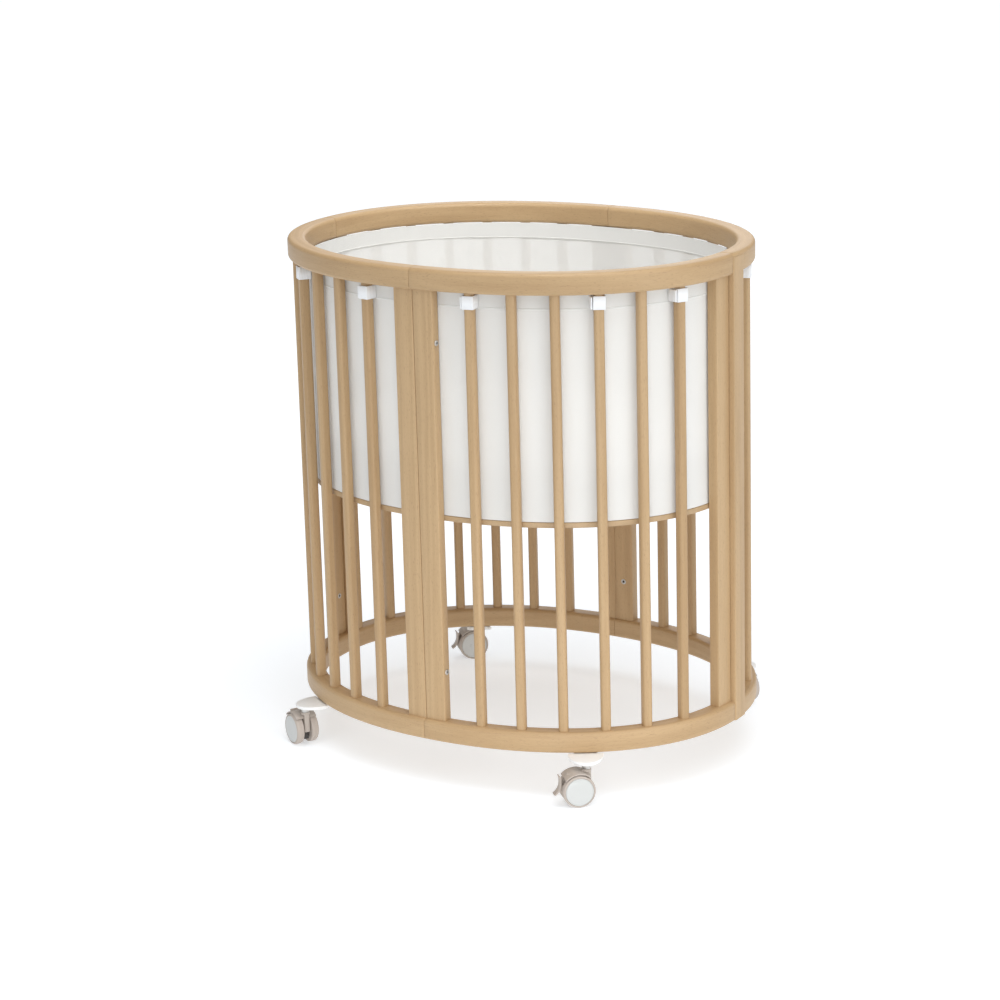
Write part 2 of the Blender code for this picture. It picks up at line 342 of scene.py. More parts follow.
def turned(name: str, profile: Sequence[tuple[float, float]], sides: int) -> bpy.types.Object:
    """Turn a solid round Z by growing a cylinder ring by ring.

    Args:
        name: Name of the piece.
        profile: (radius, height) pairs, from the first end to the last.
        sides: Number of sides.

    Returns:
        A closed solid, capped at both ends.
    """
    radius, start = profile[0]
    deselect()
    bpy.ops.mesh.primitive_circle_add(vertices=sides, radius=radius, fill_type="NGON")
    open_edit()
    bpy.ops.transform.translate(value=(0.0, 0.0, start))
    height = start
    for wider, level in profile[1:]:
        extrude((0.0, 0.0, level - height))
        ratio = wider / radius
        bpy.ops.transform.resize(value=(ratio, ratio, 1.0), center_override=(0.0, 0.0, level))
        radius, height = wider, level
    close_edit()
    return named(name)


def block(
    name: str, size: Sequence[float], centre: Sequence[float], ease: float, steps: int = 3
) -> bpy.types.Object:
    """Make a block with eased edges.

    Args:
        name: Name of the piece.
        size: Its size along X, Y and Z.
        centre: Its middle.
        ease: Width of the rounded edges.
        steps: Segments round each edge.

    Returns:
        The block.
    """
    deselect()
    bpy.ops.mesh.primitive_cube_add(size=1.0)
    open_edit()
    bpy.ops.transform.resize(value=tuple(size))
    bpy.ops.mesh.bevel(offset=ease, segments=steps, affect="EDGES")
    bpy.ops.transform.translate(value=tuple(centre))
    close_edit()
    return named(name)


def ribbon(
    name: str, line: Sequence[tuple[float, float]], width: float, thickness: float
) -> bpy.types.Object:
    """Pull a strip along a line in the YZ plane and thicken it.

    Args:
        name: Name of the piece.
        line: (y, z) points.
        width: Width along X.
        thickness: Thickness, centred on the line.

    Returns:
        The strip, with eased edges.
    """
    deselect()
    bpy.ops.mesh.primitive_plane_add(size=1.0)
    open_edit()
    bpy.ops.transform.resize(value=(width, 1.0, 1.0))
    piece = named(name)
    start, second = line[0], line[1]
    choose(piece, edges=lambda edge: all(vert.co.y < 0.0 for vert in edge.verts))
    bpy.ops.transform.translate(value=(0.0, start[0] + 0.5, start[1]))
    choose(piece, edges=lambda edge: all(vert.co.y > 0.4 for vert in edge.verts))
    bpy.ops.transform.translate(value=(0.0, second[0] - 0.5, second[1]))
    for near, far in zip(line[1:], line[2:]):
        step = (0.0, far[0] - near[0], far[1] - near[1])
        extrude(step)
    close_edit()
    apply_modifier(piece, "SOLIDIFY", thickness=thickness, offset=0.0)
    ease_sharp(piece, thickness * 0.35)
    return piece


def swept(
    name: str, guide: bpy.types.Object, section: bpy.types.Object | None = None, depth: float = 0.0
) -> bpy.types.Object:
    """Sweep a section, or a round of some depth, along a closed ring of edges.

    Args:
        name: Name of the piece.
        guide: A mesh ring, which is used up.
        section: A closed outline, which is used up.
        depth: Radius of a round section.

    Returns:
        The swept mesh.
    """
    pick(guide)
    bpy.ops.object.convert(target="CURVE")
    curve = guide.data
    curve.dimensions = "3D"
    curve.twist_mode = "Z_UP"
    if section:
        curve.bevel_mode = "OBJECT"
        curve.bevel_object = section
    else:
        curve.bevel_depth = depth
        curve.bevel_resolution = 3
    bpy.ops.object.convert(target="MESH")
    piece = named(name)
    if section:
        remove(section)
    bpy.ops.object.mode_set(mode="EDIT")
    close_edit()
    return piece


def mark(piece: bpy.types.Object, tone: float) -> None:
    """Give a piece its own tone, which its material reads.

    Args:
        piece: The piece.
        tone: From 0 to 1.
    """
    layer = piece.data.attributes.new("tone", "FLOAT", "POINT")
    layer.data.foreach_set("value", np.full(len(piece.data.vertices), tone, np.float32))


def finish_piece(
    piece: bpy.types.Object,
    finish: "Finish",
    body: str,
    stands_for: Iterable[str] = (),
) -> bpy.types.Object:
    """Dress a piece and fasten it to its body.

    Args:
        piece: The finished mesh.
        finish: Its material.
        body: The body that it rides on.
        stands_for: Frame nodes that it replaces.

    Returns:
        The same piece.
    """
    piece.data.materials.clear()
    piece.data.materials.append(finish.material())
    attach(piece, body)
    if stands_for:
        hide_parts(*stands_for)
    LOG.info("%s rides on %s", piece.name, body)
    return piece


# ---------------------------------------------------------------- the oval plan


@dataclass(frozen=True)
class Oval:
    """Plan of the crib, a slightly squared oval.

    Attributes:
        half_length: Half the length at the rails' outer face.
        half_width: Half the width there.
    """

    half_length: float
    half_width: float

    def point(self, angle: float, inset: float) -> Vector:
        """Find a point on the oval.

        Args:
            angle: Polar angle in radians.
            inset: Distance inside the outer face.

        Returns:
            The point, at height 0.
        """
        across = abs(math.cos(angle) / (self.half_length - inset)) ** ROUNDNESS
        along = abs(math.sin(angle) / (self.half_width - inset)) ** ROUNDNESS
        radius = (across + along) ** (-1.0 / ROUNDNESS)
        return Vector((radius * math.cos(angle), radius * math.sin(angle), 0.0))

    def heading(self, spot: Vector, inset: float) -> float:
        """Direction that faces squarely outwards at a point.

        Args:
            spot: A point on the oval.
            inset: The oval's inset at that point.

        Returns:
            The turn about Z that points +Y outwards.
        """
        power = ROUNDNESS - 1.0
        out_x = math.copysign(abs(spot.x / (self.half_length - inset)) ** power, spot.x)
        out_y = math.copysign(abs(spot.y / (self.half_width - inset)) ** power, spot.y)
        normal = Vector((out_x / (self.half_length - inset), out_y / (self.half_width - inset)))
        return math.atan2(normal.y, normal.x) - math.pi / 2

    def perimeter(self, inset: float) -> float:
        """Length once round the oval."""
        points = [self.point(math.radians(turn), inset) for turn in range(361)]
        return sum((b - a).length for a, b in zip(points, points[1:]))

    def ring(self, name: str, inset: float, z: float, steps: int = 192) -> bpy.types.Object:
        """Make a closed ring of edges on the oval.

        Args:
            name: Name of the ring.
            inset: Distance inside the outer face.
            z: Its height.
            steps: Number of points.

        Returns:
            The ring, a mesh with edges only.
        """
        deselect()
        bpy.ops.mesh.primitive_circle_add(vertices=steps, radius=1.0)
        ring = named(name)
        for index, vert in enumerate(ring.data.vertices):
            vert.co = self.point(2 * math.pi * index / steps, inset) + Vector((0.0, 0.0, z))
        return ring

    def tube(
        self, name: str, levels: Sequence[tuple[float, float]], steps: int = 192
    ) -> bpy.types.Object:
        """Raise a ring through several levels into an open wall.

        Args:
            name: Name of the piece.
            levels: (inset, height) pairs from the bottom up.
            steps: Points round each level.

        Returns:
            The wall, one face thick.
        """
        wall = self.ring(name, levels[0][0], levels[0][1], steps)
        pick(wall)
        open_edit()
        for (_, low), (_, high) in zip(levels, levels[1:]):
            extrude((0.0, 0.0, high - low))
        bpy.ops.object.mode_set(mode="OBJECT")
        heights = np.array([z for _, z in levels])
        insets = np.array([inset for inset, _ in levels])
        order = heights.argsort()
        for vert in wall.data.vertices:
            inset = float(np.interp(vert.co.z, heights[order], insets[order]))
            spot = self.point(math.atan2(vert.co.y, vert.co.x), inset)
            vert.co = Vector((spot.x, spot.y, vert.co.z))
        bpy.ops.object.mode_set(mode="EDIT")
        close_edit()
        return wall

    def plate(
        self, name: str, inset: float, low: float, high: float, ease: float
    ) -> bpy.types.Object:
        """Make a flat oval plate with eased edges.

        Args:
            name: Name of the piece.
            inset: Distance inside the outer face.
            low: Height of its underside.
            high: Height of its top.
            ease: Width of the rounded edge.

        Returns:
            The plate.
        """
        plate = self.ring(name, inset, low, 160)
        pick(plate)
        open_edit()
        bpy.ops.mesh.edge_face_add()
        extrude((0.0, 0.0, high - low))
        choose(plate, edges=lambda edge: not upright_edge(edge))
        bpy.ops.mesh.bevel(offset=ease, segments=3, affect="EDGES")
        close_edit()
        return plate


# ---------------------------------------------------------------- finishes


@dataclass
class Graph:
    """Short calls for building a node tree."""

    tree: bpy.types.NodeTree

    def add(self, kind: str, inputs: dict[Any, Any] | None = None, **settings: Any) -> Any:
        """Add a node.

        Args:
            kind: The node's type, without its ShaderNode prefix.
            inputs: Values or sockets by input name or number.
            settings: The node's properties.

        Returns:
            The node.
        """
        node = self.tree.nodes.new("ShaderNode" + kind)
        for key, value in settings.items():
            setattr(node, key, value)
        for key, value in (inputs or {}).items():
            self.feed(value, node.inputs[key])
        return node

    def feed(self, value: Any, socket: Any) -> None:
        """Link a socket, or set a plain value."""
        if isinstance(value, bpy.types.NodeSocket):
            self.tree.links.new(value, socket)
        else:
            socket.default_value = value

    def math(self, operation: str, *values: Any) -> Any:
        """Add a math node and return its result."""
        feeds = dict(enumerate(values))
        return self.add("Math", feeds, operation=operation).outputs[0]

    def vector(self, operation: str, *values: Any) -> Any:
        """Add a vector math node and return its vector."""
        feeds = dict(enumerate(values))
        return self.add("VectorMath", feeds, operation=operation).outputs[0]

    def noise(self, vector: Any, scale: float, detail: float = 3.0, roughness: float = 0.5) -> Any:
        """Add a noise texture and return its factor."""
        feeds = {"Vector": vector, "Scale": scale, "Detail": detail, "Roughness": roughness}
        return self.add("TexNoise", feeds).outputs["Fac"]

    def blend(self, factor: Any, first: Any, second: Any) -> Any:
        """Mix two colours and return the result."""
        node = self.add("Mix", data_type="RGBA")
        colours = [socket for socket in node.inputs if socket.type == "RGBA"]
        self.feed(factor, node.inputs[0])
        for value, socket in zip((first, second), colours):
            whole = (*value, 1.0) if isinstance(value, tuple) and len(value) == 3 else value
            self.feed(whole, socket)
        return next(socket for socket in node.outputs if socket.type == "RGBA")

    def span(self, value: Any, low: float, high: float, to_low: float, to_high: float) -> Any:
        """Map a value from one span to another, clamped."""
        feeds = {0: value, 1: low, 2: high, 3: to_low, 4: to_high}
        return self.add("MapRange", feeds).outputs[0]


def new_group(name: str, inputs: dict[str, str], outputs: dict[str, str]) -> tuple[Graph, Any, Any]:
    """Start a shader node group.

    Args:
        name: Name of the group.
        inputs: Socket types by input name.
        outputs: Socket types by output name.

    Returns:
        The graph, its input node and its output node.
    """
    tree = bpy.data.node_groups.new(name, "ShaderNodeTree")
    for key, kind in inputs.items():
        tree.interface.new_socket(name=key, in_out="INPUT", socket_type=kind)
    for key, kind in outputs.items():
        tree.interface.new_socket(name=key, in_out="OUTPUT", socket_type=kind)
    graph = Graph(tree)
    return graph, tree.nodes.new("NodeGroupInput"), tree.nodes.new("NodeGroupOutput")


VECTOR, FLOAT = "NodeSocketVector", "NodeSocketFloat"


def wood_figure_group() -> bpy.types.NodeTree:
    """Growth rings, fibres and the short dark flecks of beech, with the grain along X."""
    outputs = {"Figure": FLOAT, "Fibre": FLOAT, "Fleck": FLOAT, "Height": FLOAT}
    graph, given, result = new_group("wood_figure", {"Vector": VECTOR, "Tone": FLOAT}, outputs)
    shift = graph.add("CombineXYZ", {i: given.outputs["Tone"] for i in range(3)}).outputs[0]
    moved = graph.vector("ADD", given.outputs["Vector"], graph.vector("MULTIPLY", shift, (7.3, 3.1, 5.7)))
    slow = graph.vector("MULTIPLY", moved, (0.05, 1.0, 1.0))
    swirl = graph.noise(slow, 26.0, 3.0, 0.5)
    across = graph.add("SeparateXYZ", {0: moved})
    ripple = graph.math("ADD", graph.math("MULTIPLY", across.outputs[1], 340.0),
                        graph.math("MULTIPLY", swirl, 22.0))
    rings = graph.math("MULTIPLY_ADD", graph.math("SINE", ripple), 0.5, 0.5)
    broad = graph.noise(graph.vector("MULTIPLY", moved, (0.12, 1.0, 1.0)), 38.0, 2.0, 0.5)
    figure = graph.math("ADD", graph.math("MULTIPLY", rings, 0.45), graph.math("MULTIPLY", broad, 0.65))
    fibre = graph.noise(graph.vector("MULTIPLY", moved, (0.022, 1.0, 1.0)), 900.0, 3.0, 0.6)
    dashes = graph.noise(graph.vector("MULTIPLY", moved, (0.13, 1.0, 1.0)), 1150.0, 1.0, 0.5)
    fleck = graph.span(dashes, 0.62, 0.72, 0.0, 1.0)
    height = graph.math("SUBTRACT", fibre, graph.math("MULTIPLY", fleck, 0.6))
    for key, value in (("Figure", figure), ("Fibre", fibre), ("Fleck", fleck), ("Height", height)):
        graph.feed(value, result.inputs[key])
    return graph.tree


def soft_drift_group() -> bpy.types.NodeTree:
    """Slow change over a surface, and a fine moulded texture."""
    outputs = {"Drift": FLOAT, "Fine": FLOAT}
    graph, given, result = new_group("soft_drift", {"Vector": VECTOR, "Tone": FLOAT}, outputs)
    shift = graph.add("CombineXYZ", {i: given.outputs["Tone"] for i in range(3)}).outputs[0]
    moved = graph.vector("ADD", given.outputs["Vector"], shift)
    graph.feed(graph.noise(moved, 22.0, 3.0), result.inputs["Drift"])
    graph.feed(graph.noise(moved, 1800.0, 2.0), result.inputs["Fine"])
    return graph.tree


def round_wall_group() -> bpy.types.NodeTree:
    """Coordinates that run round the crib, outwards and up, in metres."""
    graph, given, result = new_group("round_wall", {"Vector": VECTOR}, {"Vector": VECTOR})
    parts = graph.add("SeparateXYZ", {0: given.outputs["Vector"]})
    angle = graph.math("ARCTAN2", parts.outputs[1], parts.outputs[0])
    plan = graph.vector("MULTIPLY", given.outputs["Vector"], (1.0, 1.26, 0.0))
    radius = graph.add("VectorMath", {0: plan}, operation="LENGTH").outputs["Value"]
    feeds = {0: graph.math("MULTIPLY", angle, 0.35), 1: radius, 2: parts.outputs[2]}
    graph.feed(graph.add("CombineXYZ", feeds).outputs[0], result.inputs["Vector"])
    return graph.tree


def weave_group() -> bpy.types.NodeTree:
    """Threads that cross over and under each other, in the plane of X and Z, with a pitch."""
    inputs = {"Vector": VECTOR, "Pitch": FLOAT}
    graph, given, result = new_group("weave", inputs, {"Thread": FLOAT, "Height": FLOAT})
    parts = graph.add("SeparateXYZ", {0: given.outputs["Vector"]})
    rate = graph.math("DIVIDE", math.pi, given.outputs["Pitch"])
    waves = []
    for axis in (0, 2):
        phase = graph.math("MULTIPLY", parts.outputs[axis], rate)
        waves.append(graph.math("ABSOLUTE", graph.math("SINE", phase)))
    thread = graph.math("MAXIMUM", *waves)
    graph.feed(graph.span(thread, 0.45, 0.95, 0.0, 1.0), result.inputs["Thread"])
    graph.feed(graph.math("MULTIPLY", *waves), result.inputs["Height"])
    return graph.tree


def knit_group() -> bpy.types.NodeTree:
    """Fine loops of a jersey that looks alike from every side."""
    inputs = {"Vector": VECTOR, "Pitch": FLOAT}
    graph, given, result = new_group("knit", inputs, {"Loop": FLOAT})
    parts = graph.add("SeparateXYZ", {0: given.outputs["Vector"]})
    rate = graph.math("DIVIDE", math.pi, given.outputs["Pitch"])
    total: Any = 0.0
    for axis in range(3):
        wave = graph.math("SINE", graph.math("MULTIPLY", parts.outputs[axis], rate))
        total = graph.math("ADD", graph.math("ABSOLUTE", wave), total)
    graph.feed(graph.math("DIVIDE", total, 3.0), result.inputs["Loop"])
    return graph.tree


GROUP_MAKERS: dict[str, Callable[[], bpy.types.NodeTree]] = {
    "wood_figure": wood_figure_group,
    "soft_drift": soft_drift_group,
    "round_wall": round_wall_group,
    "weave": weave_group,
    "knit": knit_group,
}


def group_node(graph: Graph, name: str, inputs: dict[str, Any]) -> Any:
    """Place a shared node group, making it the first time.

    Args:
        graph: The material's graph.
        name: The group's name.
        inputs: Values or sockets by input name.

    Returns:
        The group's node.
    """
    tree = bpy.data.node_groups.get(name) or GROUP_MAKERS[name]()
    node = graph.add("Group", node_tree=tree)
    for key, value in inputs.items():
        graph.feed(value, node.inputs[key])
    return node


@dataclass(frozen=True)
class Finish:
    """Base of every finish.

    Attributes:
        name: Name of the material.
    """

    name: str

    def material(self) -> bpy.types.Material:
        """Build the material, or give it again.

        Returns:
            The material.
        """
        found = bpy.data.materials.get(self.name)
        if found:
            return found
        made = bpy.data.materials.new(self.name)
        made.use_nodes = True
        graph = Graph(made.node_tree)
        shader = made.node_tree.nodes["Principled BSDF"]
        place_of = graph.add("TexCoord").outputs["Object"]
        tone = graph.add("Attribute", attribute_name="tone").outputs["Fac"]
        self.dress(graph, shader, place_of, tone)
        return made

    def dress(self, graph: Graph, shader: Any, place_of: Any, tone: Any) -> None:
        """Feed the shader. Each finish has its own way."""
        raise NotImplementedError

    @staticmethod
    def bump(graph: Graph, shader: Any, height: Any, distance: float, strength: float) -> None:
        """Feed the shader's normal from a height."""
        feeds = {"Height": height, "Distance": distance, "Strength": strength}
        graph.feed(graph.add("Bump", feeds).outputs["Normal"], shader.inputs["Normal"])


@dataclass(frozen=True)
class Beech(Finish):
    """Clear-lacquered beech."""

    light: Colour = (0.60, 0.42, 0.232)
    dark: Colour = (0.375, 0.232, 0.108)
    fleck: Colour = (0.25, 0.15, 0.075)
    grain: Grain = Grain.UPRIGHT

    def dress(self, graph: Graph, shader: Any, place_of: Any, tone: Any) -> None:
        """Lay the grain along the piece, with rings, fibres and flecks."""
        along = self.along(graph, place_of)
        wood = group_node(graph, "wood_figure", {"Vector": along, "Tone": tone})
        drift = group_node(graph, "soft_drift", {"Vector": place_of, "Tone": tone})
        depth = graph.math("MULTIPLY", wood.outputs["Figure"], 0.42)
        depth = graph.math("MULTIPLY_ADD", wood.outputs["Fibre"], 0.50, depth)
        depth = graph.math("MULTIPLY_ADD", tone, 0.22, graph.math("SUBTRACT", depth, 0.12))
        colour = graph.blend(depth, self.light, self.dark)
        spots = graph.math("MULTIPLY", wood.outputs["Fleck"], 0.38)
        colour = graph.blend(spots, colour, self.fleck)
        graph.feed(colour, shader.inputs["Base Color"])
        rough = graph.math("MULTIPLY_ADD", wood.outputs["Fibre"], 0.16, 0.34)
        rough = graph.math("MULTIPLY_ADD", drift.outputs["Drift"], 0.08, rough)
        graph.feed(rough, shader.inputs["Roughness"])
        shader.inputs["Specular IOR Level"].default_value = 0.45
        self.bump(graph, shader, wood.outputs["Height"], 0.00012, 0.55)

    def along(self, graph: Graph, place_of: Any) -> Any:
        """Coordinates with the grain along X.

        Args:
            graph: The material's graph.
            place_of: Object coordinates.

        Returns:
            The turned coordinates.
        """
        if self.grain is Grain.BENT:
            return group_node(graph, "round_wall", {"Vector": place_of}).outputs["Vector"]
        if self.grain is Grain.FLAT:
            return place_of
        parts = graph.add("SeparateXYZ", {0: place_of})
        feeds = {0: parts.outputs[2], 1: parts.outputs[0], 2: parts.outputs[1]}
        return graph.add("CombineXYZ", feeds).outputs[0]


@dataclass(frozen=True)
class Plastic(Finish):
    """Moulded plastic with a faint texture."""

    colour: Colour = (0.8, 0.8, 0.78)
    worn: Colour = (0.7, 0.7, 0.68)
    roughness: float = 0.35
    texture: float = 0.3

    def dress(self, graph: Graph, shader: Any, place_of: Any, tone: Any) -> None:
        """Vary the colour and gloss slightly and add the moulded texture."""
        drift = group_node(graph, "soft_drift", {"Vector": place_of, "Tone": tone})
        colour = graph.blend(drift.outputs["Drift"], self.colour, self.worn)
        graph.feed(colour, shader.inputs["Base Color"])
        rough = graph.math("MULTIPLY_ADD", drift.outputs["Drift"], 0.14, self.roughness - 0.07)
        graph.feed(rough, shader.inputs["Roughness"])
        self.bump(graph, shader, drift.outputs["Fine"], 0.00008, self.texture)


@dataclass(frozen=True)
class Metal(Finish):
    """Plated steel with fine scratches."""

    bright: Colour = (0.72, 0.71, 0.69)
    dull: Colour = (0.50, 0.49, 0.47)
    roughness: float = 0.28

    def dress(self, graph: Graph, shader: Any, place_of: Any, tone: Any) -> None:
        """Cloud the plating and roughen it here and there."""
        drift = group_node(graph, "soft_drift", {"Vector": place_of, "Tone": tone})
        colour = graph.blend(drift.outputs["Fine"], self.bright, self.dull)
        graph.feed(colour, shader.inputs["Base Color"])
        rough = graph.math("MULTIPLY_ADD", drift.outputs["Fine"], 0.2, self.roughness)
        graph.feed(rough, shader.inputs["Roughness"])
        shader.inputs["Metallic"].default_value = 1.0


@dataclass(frozen=True)
class Cloth(Finish):
    """Woven white fabric that follows the wall of the crib."""

    colour: Colour = (0.935, 0.93, 0.905)
    shade: Colour = (0.865, 0.86, 0.835)
    pitch: float = 0.0011
    open_share: float = 0.0

    def dress(self, graph: Graph, shader: Any, place_of: Any, tone: Any) -> None:
        """Weave the threads, and open the holes of a mesh."""
        wall = group_node(graph, "round_wall", {"Vector": place_of}).outputs["Vector"]
        weave = group_node(graph, "weave", {"Vector": wall, "Pitch": self.pitch})
        drift = group_node(graph, "soft_drift", {"Vector": place_of, "Tone": tone})
        colour = graph.blend(weave.outputs["Thread"], self.shade, self.colour)
        clouds = graph.math("MULTIPLY", drift.outputs["Drift"], 0.12)
        graph.feed(graph.blend(clouds, colour, self.shade), shader.inputs["Base Color"])
        rough = graph.math("MULTIPLY_ADD", weave.outputs["Thread"], -0.12, 0.92)
        graph.feed(rough, shader.inputs["Roughness"])
        shader.inputs["Sheen Weight"].default_value = 0.25
        shader.inputs["Specular IOR Level"].default_value = 0.2
        if self.open_share:
            closed = 1.0 - 1.3 * self.open_share
            alpha = graph.math("MULTIPLY_ADD", weave.outputs["Thread"], 0.4 * self.open_share, closed)
            graph.feed(alpha, shader.inputs["Alpha"])
        self.bump(graph, shader, weave.outputs["Height"], 0.0001, 0.5)


@dataclass(frozen=True)
class Jersey(Finish):
    """Soft knitted cotton of the mattress cover."""

    colour: Colour = (0.90, 0.89, 0.875)
    shade: Colour = (0.80, 0.79, 0.775)
    pitch: float = 0.0016

    def dress(self, graph: Graph, shader: Any, place_of: Any, tone: Any) -> None:
        """Knit the loops and give them a soft sheen."""
        knit = group_node(graph, "knit", {"Vector": place_of, "Pitch": self.pitch})
        drift = group_node(graph, "soft_drift", {"Vector": place_of, "Tone": tone})
        colour = graph.blend(knit.outputs["Loop"], self.shade, self.colour)
        clouds = graph.math("MULTIPLY", drift.outputs["Drift"], 0.15)
        graph.feed(graph.blend(clouds, colour, self.shade), shader.inputs["Base Color"])
        rough = graph.math("MULTIPLY_ADD", knit.outputs["Loop"], -0.1, 0.95)
        graph.feed(rough, shader.inputs["Roughness"])
        shader.inputs["Sheen Weight"].default_value = 0.3
        shader.inputs["Specular IOR Level"].default_value = 0.2
        self.bump(graph, shader, knit.outputs["Loop"], 0.00025, 0.6)


@dataclass(frozen=True)
class Paper(Finish):
    """Matt white studio floor."""

    def dress(self, graph: Graph, shader: Any, place_of: Any, tone: Any) -> None:
        """Keep the floor plain, with a trace of tooth."""
        drift = group_node(graph, "soft_drift", {"Vector": place_of, "Tone": tone})
        shader.inputs["Base Color"].default_value = (0.66, 0.70, 0.745, 1.0)
        shader.inputs["Emission Color"].default_value = (1.0, 1.0, 1.0, 1.0)
        shader.inputs["Emission Strength"].default_value = 0.47
        rough = graph.math("MULTIPLY_ADD", drift.outputs["Drift"], 0.05, 0.92)
        graph.feed(rough, shader.inputs["Roughness"])
        shader.inputs["Specular IOR Level"].default_value = 0.05


UPRIGHT_BEECH = Beech("beech_upright")
BENT_BEECH = Beech("beech_bent", grain=Grain.BENT)
BASE_BEECH = Beech("beech_board", light=(0.56, 0.40, 0.235), dark=(0.42, 0.285, 0.155), grain=Grain.FLAT)
WHITE_PLASTIC = Plastic("white_plastic", (0.86, 0.87, 0.87), (0.81, 0.82, 0.815), 0.36, 0.25)
TAUPE_PLASTIC = Plastic("taupe_plastic", (0.14, 0.125, 0.10), (0.115, 0.102, 0.081), 0.42, 0.35)
WHEEL_TREAD = Plastic("wheel_tread", (0.13, 0.117, 0.096), (0.108, 0.097, 0.079), 0.55, 0.6)
CAP_PLASTIC = Plastic("cap_plastic", (0.60, 0.61, 0.595), (0.56, 0.565, 0.55), 0.30, 0.2)
# Dark plastic of the brake shoe and the axle sleeve; the same material fills the insert bores and the bolt
# sockets as painted shade.
DARK_PLASTIC_AND_SHADE = Plastic("dark_plastic_and_painted_shade", (0.035, 0.03, 0.028), (0.05, 0.045, 0.04), 0.5, 0.4)
PLATED_STEEL = Metal("plated_steel")
SHEER_MESH = Cloth("sheer_mesh", pitch=0.0012, open_share=0.24)
# The band's cloth is greyed below the other whites as painted shade from the top rail above it; the seams
# and the binding wear it too.
BAND_CLOTH_PAINTED_SHADE = Cloth("band_cloth_painted_shade", (0.83, 0.83, 0.805), (0.75, 0.75, 0.73), 0.0007)
LOOP_CLOTH = Cloth("loop_cloth", (0.92, 0.93, 0.94), (0.84, 0.85, 0.86), 0.0009)
COVER_JERSEY = Jersey("cover_jersey")
STUDIO_PAPER = Paper("studio_paper")


# ---------------------------------------------------------------- rails


@dataclass
class Rails:
    """Top and bottom rails, each bent from four beech quarters.

    Attributes:
        oval: The crib's plan.
        width: Width of the rail.
        height: Height of the rail.
        rounding: Radius of its long edges.
        seam: Half the gap at a joint.
        hole_radius: Radius of the small bore in the bottom rail.
        hole_depth: Depth of that bore.
        hole_x: How far each bore lies from the middle.
    """

    oval: Oval
    width: float = 0.031
    height: float = 0.035
    rounding: float = 0.0066
    seam: float = 0.0003
    hole_radius: float = 0.0030
    hole_depth: float = 0.009
    hole_x: float = 0.130

    def section(self) -> bpy.types.Object:
        """Outline of the rail, as a closed curve."""
        deselect()
        bpy.ops.mesh.primitive_plane_add(size=1.0)
        outline = named("rail_section")
        outline.scale = (self.width, self.height, 1.0)
        settle(outline)
        open_edit()
        bpy.ops.mesh.bevel(offset=self.rounding, segments=7, affect="VERTICES")
        bpy.ops.mesh.delete(type="ONLY_FACE")
        bpy.ops.object.mode_set(mode="OBJECT")
        bpy.ops.object.convert(target="CURVE")
        return outline

    def whole(self, name: str, centre_z: float) -> bpy.types.Object:
        """Bend one rail all the way round.

        Args:
            name: Name of the ring.
            centre_z: Height of its middle.

        Returns:
            The closed ring.
        """
        guide = self.oval.ring(name + "_guide", self.width / 2, centre_z, 224)
        return swept(name, guide, section=self.section())

    def quarter(self, ring: bpy.types.Object, name: str, corner: Corner) -> bpy.types.Object:
        """Saw one quarter out of a whole rail.

        Args:
            ring: The whole rail.
            name: Name of the quarter.
            corner: Which quarter to keep.

        Returns:
            The quarter, with its sawn ends eased.
        """
        piece = copy_of(ring, name)
        sign_x, sign_y = corner.signs
        for sign, axis in ((sign_x, (1.0, 0.0, 0.0)), (sign_y, (0.0, 1.0, 0.0))):
            pick(piece)
            open_edit()
            spot = tuple(sign * self.seam * part for part in axis)
            way = tuple(sign * part for part in axis)
            bpy.ops.mesh.bisect(plane_co=spot, plane_no=way, use_fill=True, clear_inner=True)
            bpy.ops.object.mode_set(mode="OBJECT")
        choose(piece, edges=self.sawn_edge)
        bpy.ops.mesh.bevel(offset=0.0003, segments=2, affect="EDGES")
        close_edit()
        return smooth(piece, 32.0)

    @staticmethod
    def sawn_edge(edge: Any) -> bool:
        """True for an edge round a sawn end."""
        return len(edge.link_faces) == 2 and edge.calc_face_angle() > math.radians(60.0)

    def bore(self, rail: bpy.types.Object, corner: Corner, top: float) -> None:
        """Drill the small bore in the top of a bottom rail.

        Args:
            rail: The rail quarter.
            corner: Its quarter.
            top: Height of the rail's top.
        """
        angle = math.acos(self.hole_x / self.oval.half_length)
        middle = self.oval.point(angle, self.width / 2)
        sign_x, sign_y = corner.signs
        profile = [(self.hole_radius, -self.hole_depth), (self.hole_radius, 0.004)]
        drill = place(
            turned("drill", profile, 20),
            Matrix.Translation((sign_x * middle.x, sign_y * middle.y, top)),
        )
        combine(rail, "DIFFERENCE", drill)

    def build(self) -> None:
        """Make all eight quarters."""
        tones = iter((0.35, 0.62, 0.18, 0.50, 0.42, 0.25, 0.66, 0.30))
        for level in ("top_rail", "bottom_rail"):
            low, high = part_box(f"{level}_front_right")
            ring = self.whole(level + "_ring", (low.z + high.z) / 2)
            for corner in Corner:
                node = f"{level}_{corner.key}"
                piece = self.quarter(ring, f"{level}_quarter_{corner.key}", corner)
                if level == "bottom_rail":
                    self.bore(piece, corner, high.z)
                mark(piece, next(tones))
                finish_piece(piece, BENT_BEECH, ROOT_BODY, [node])
            remove(ring)


# ---------------------------------------------------------------- uprights


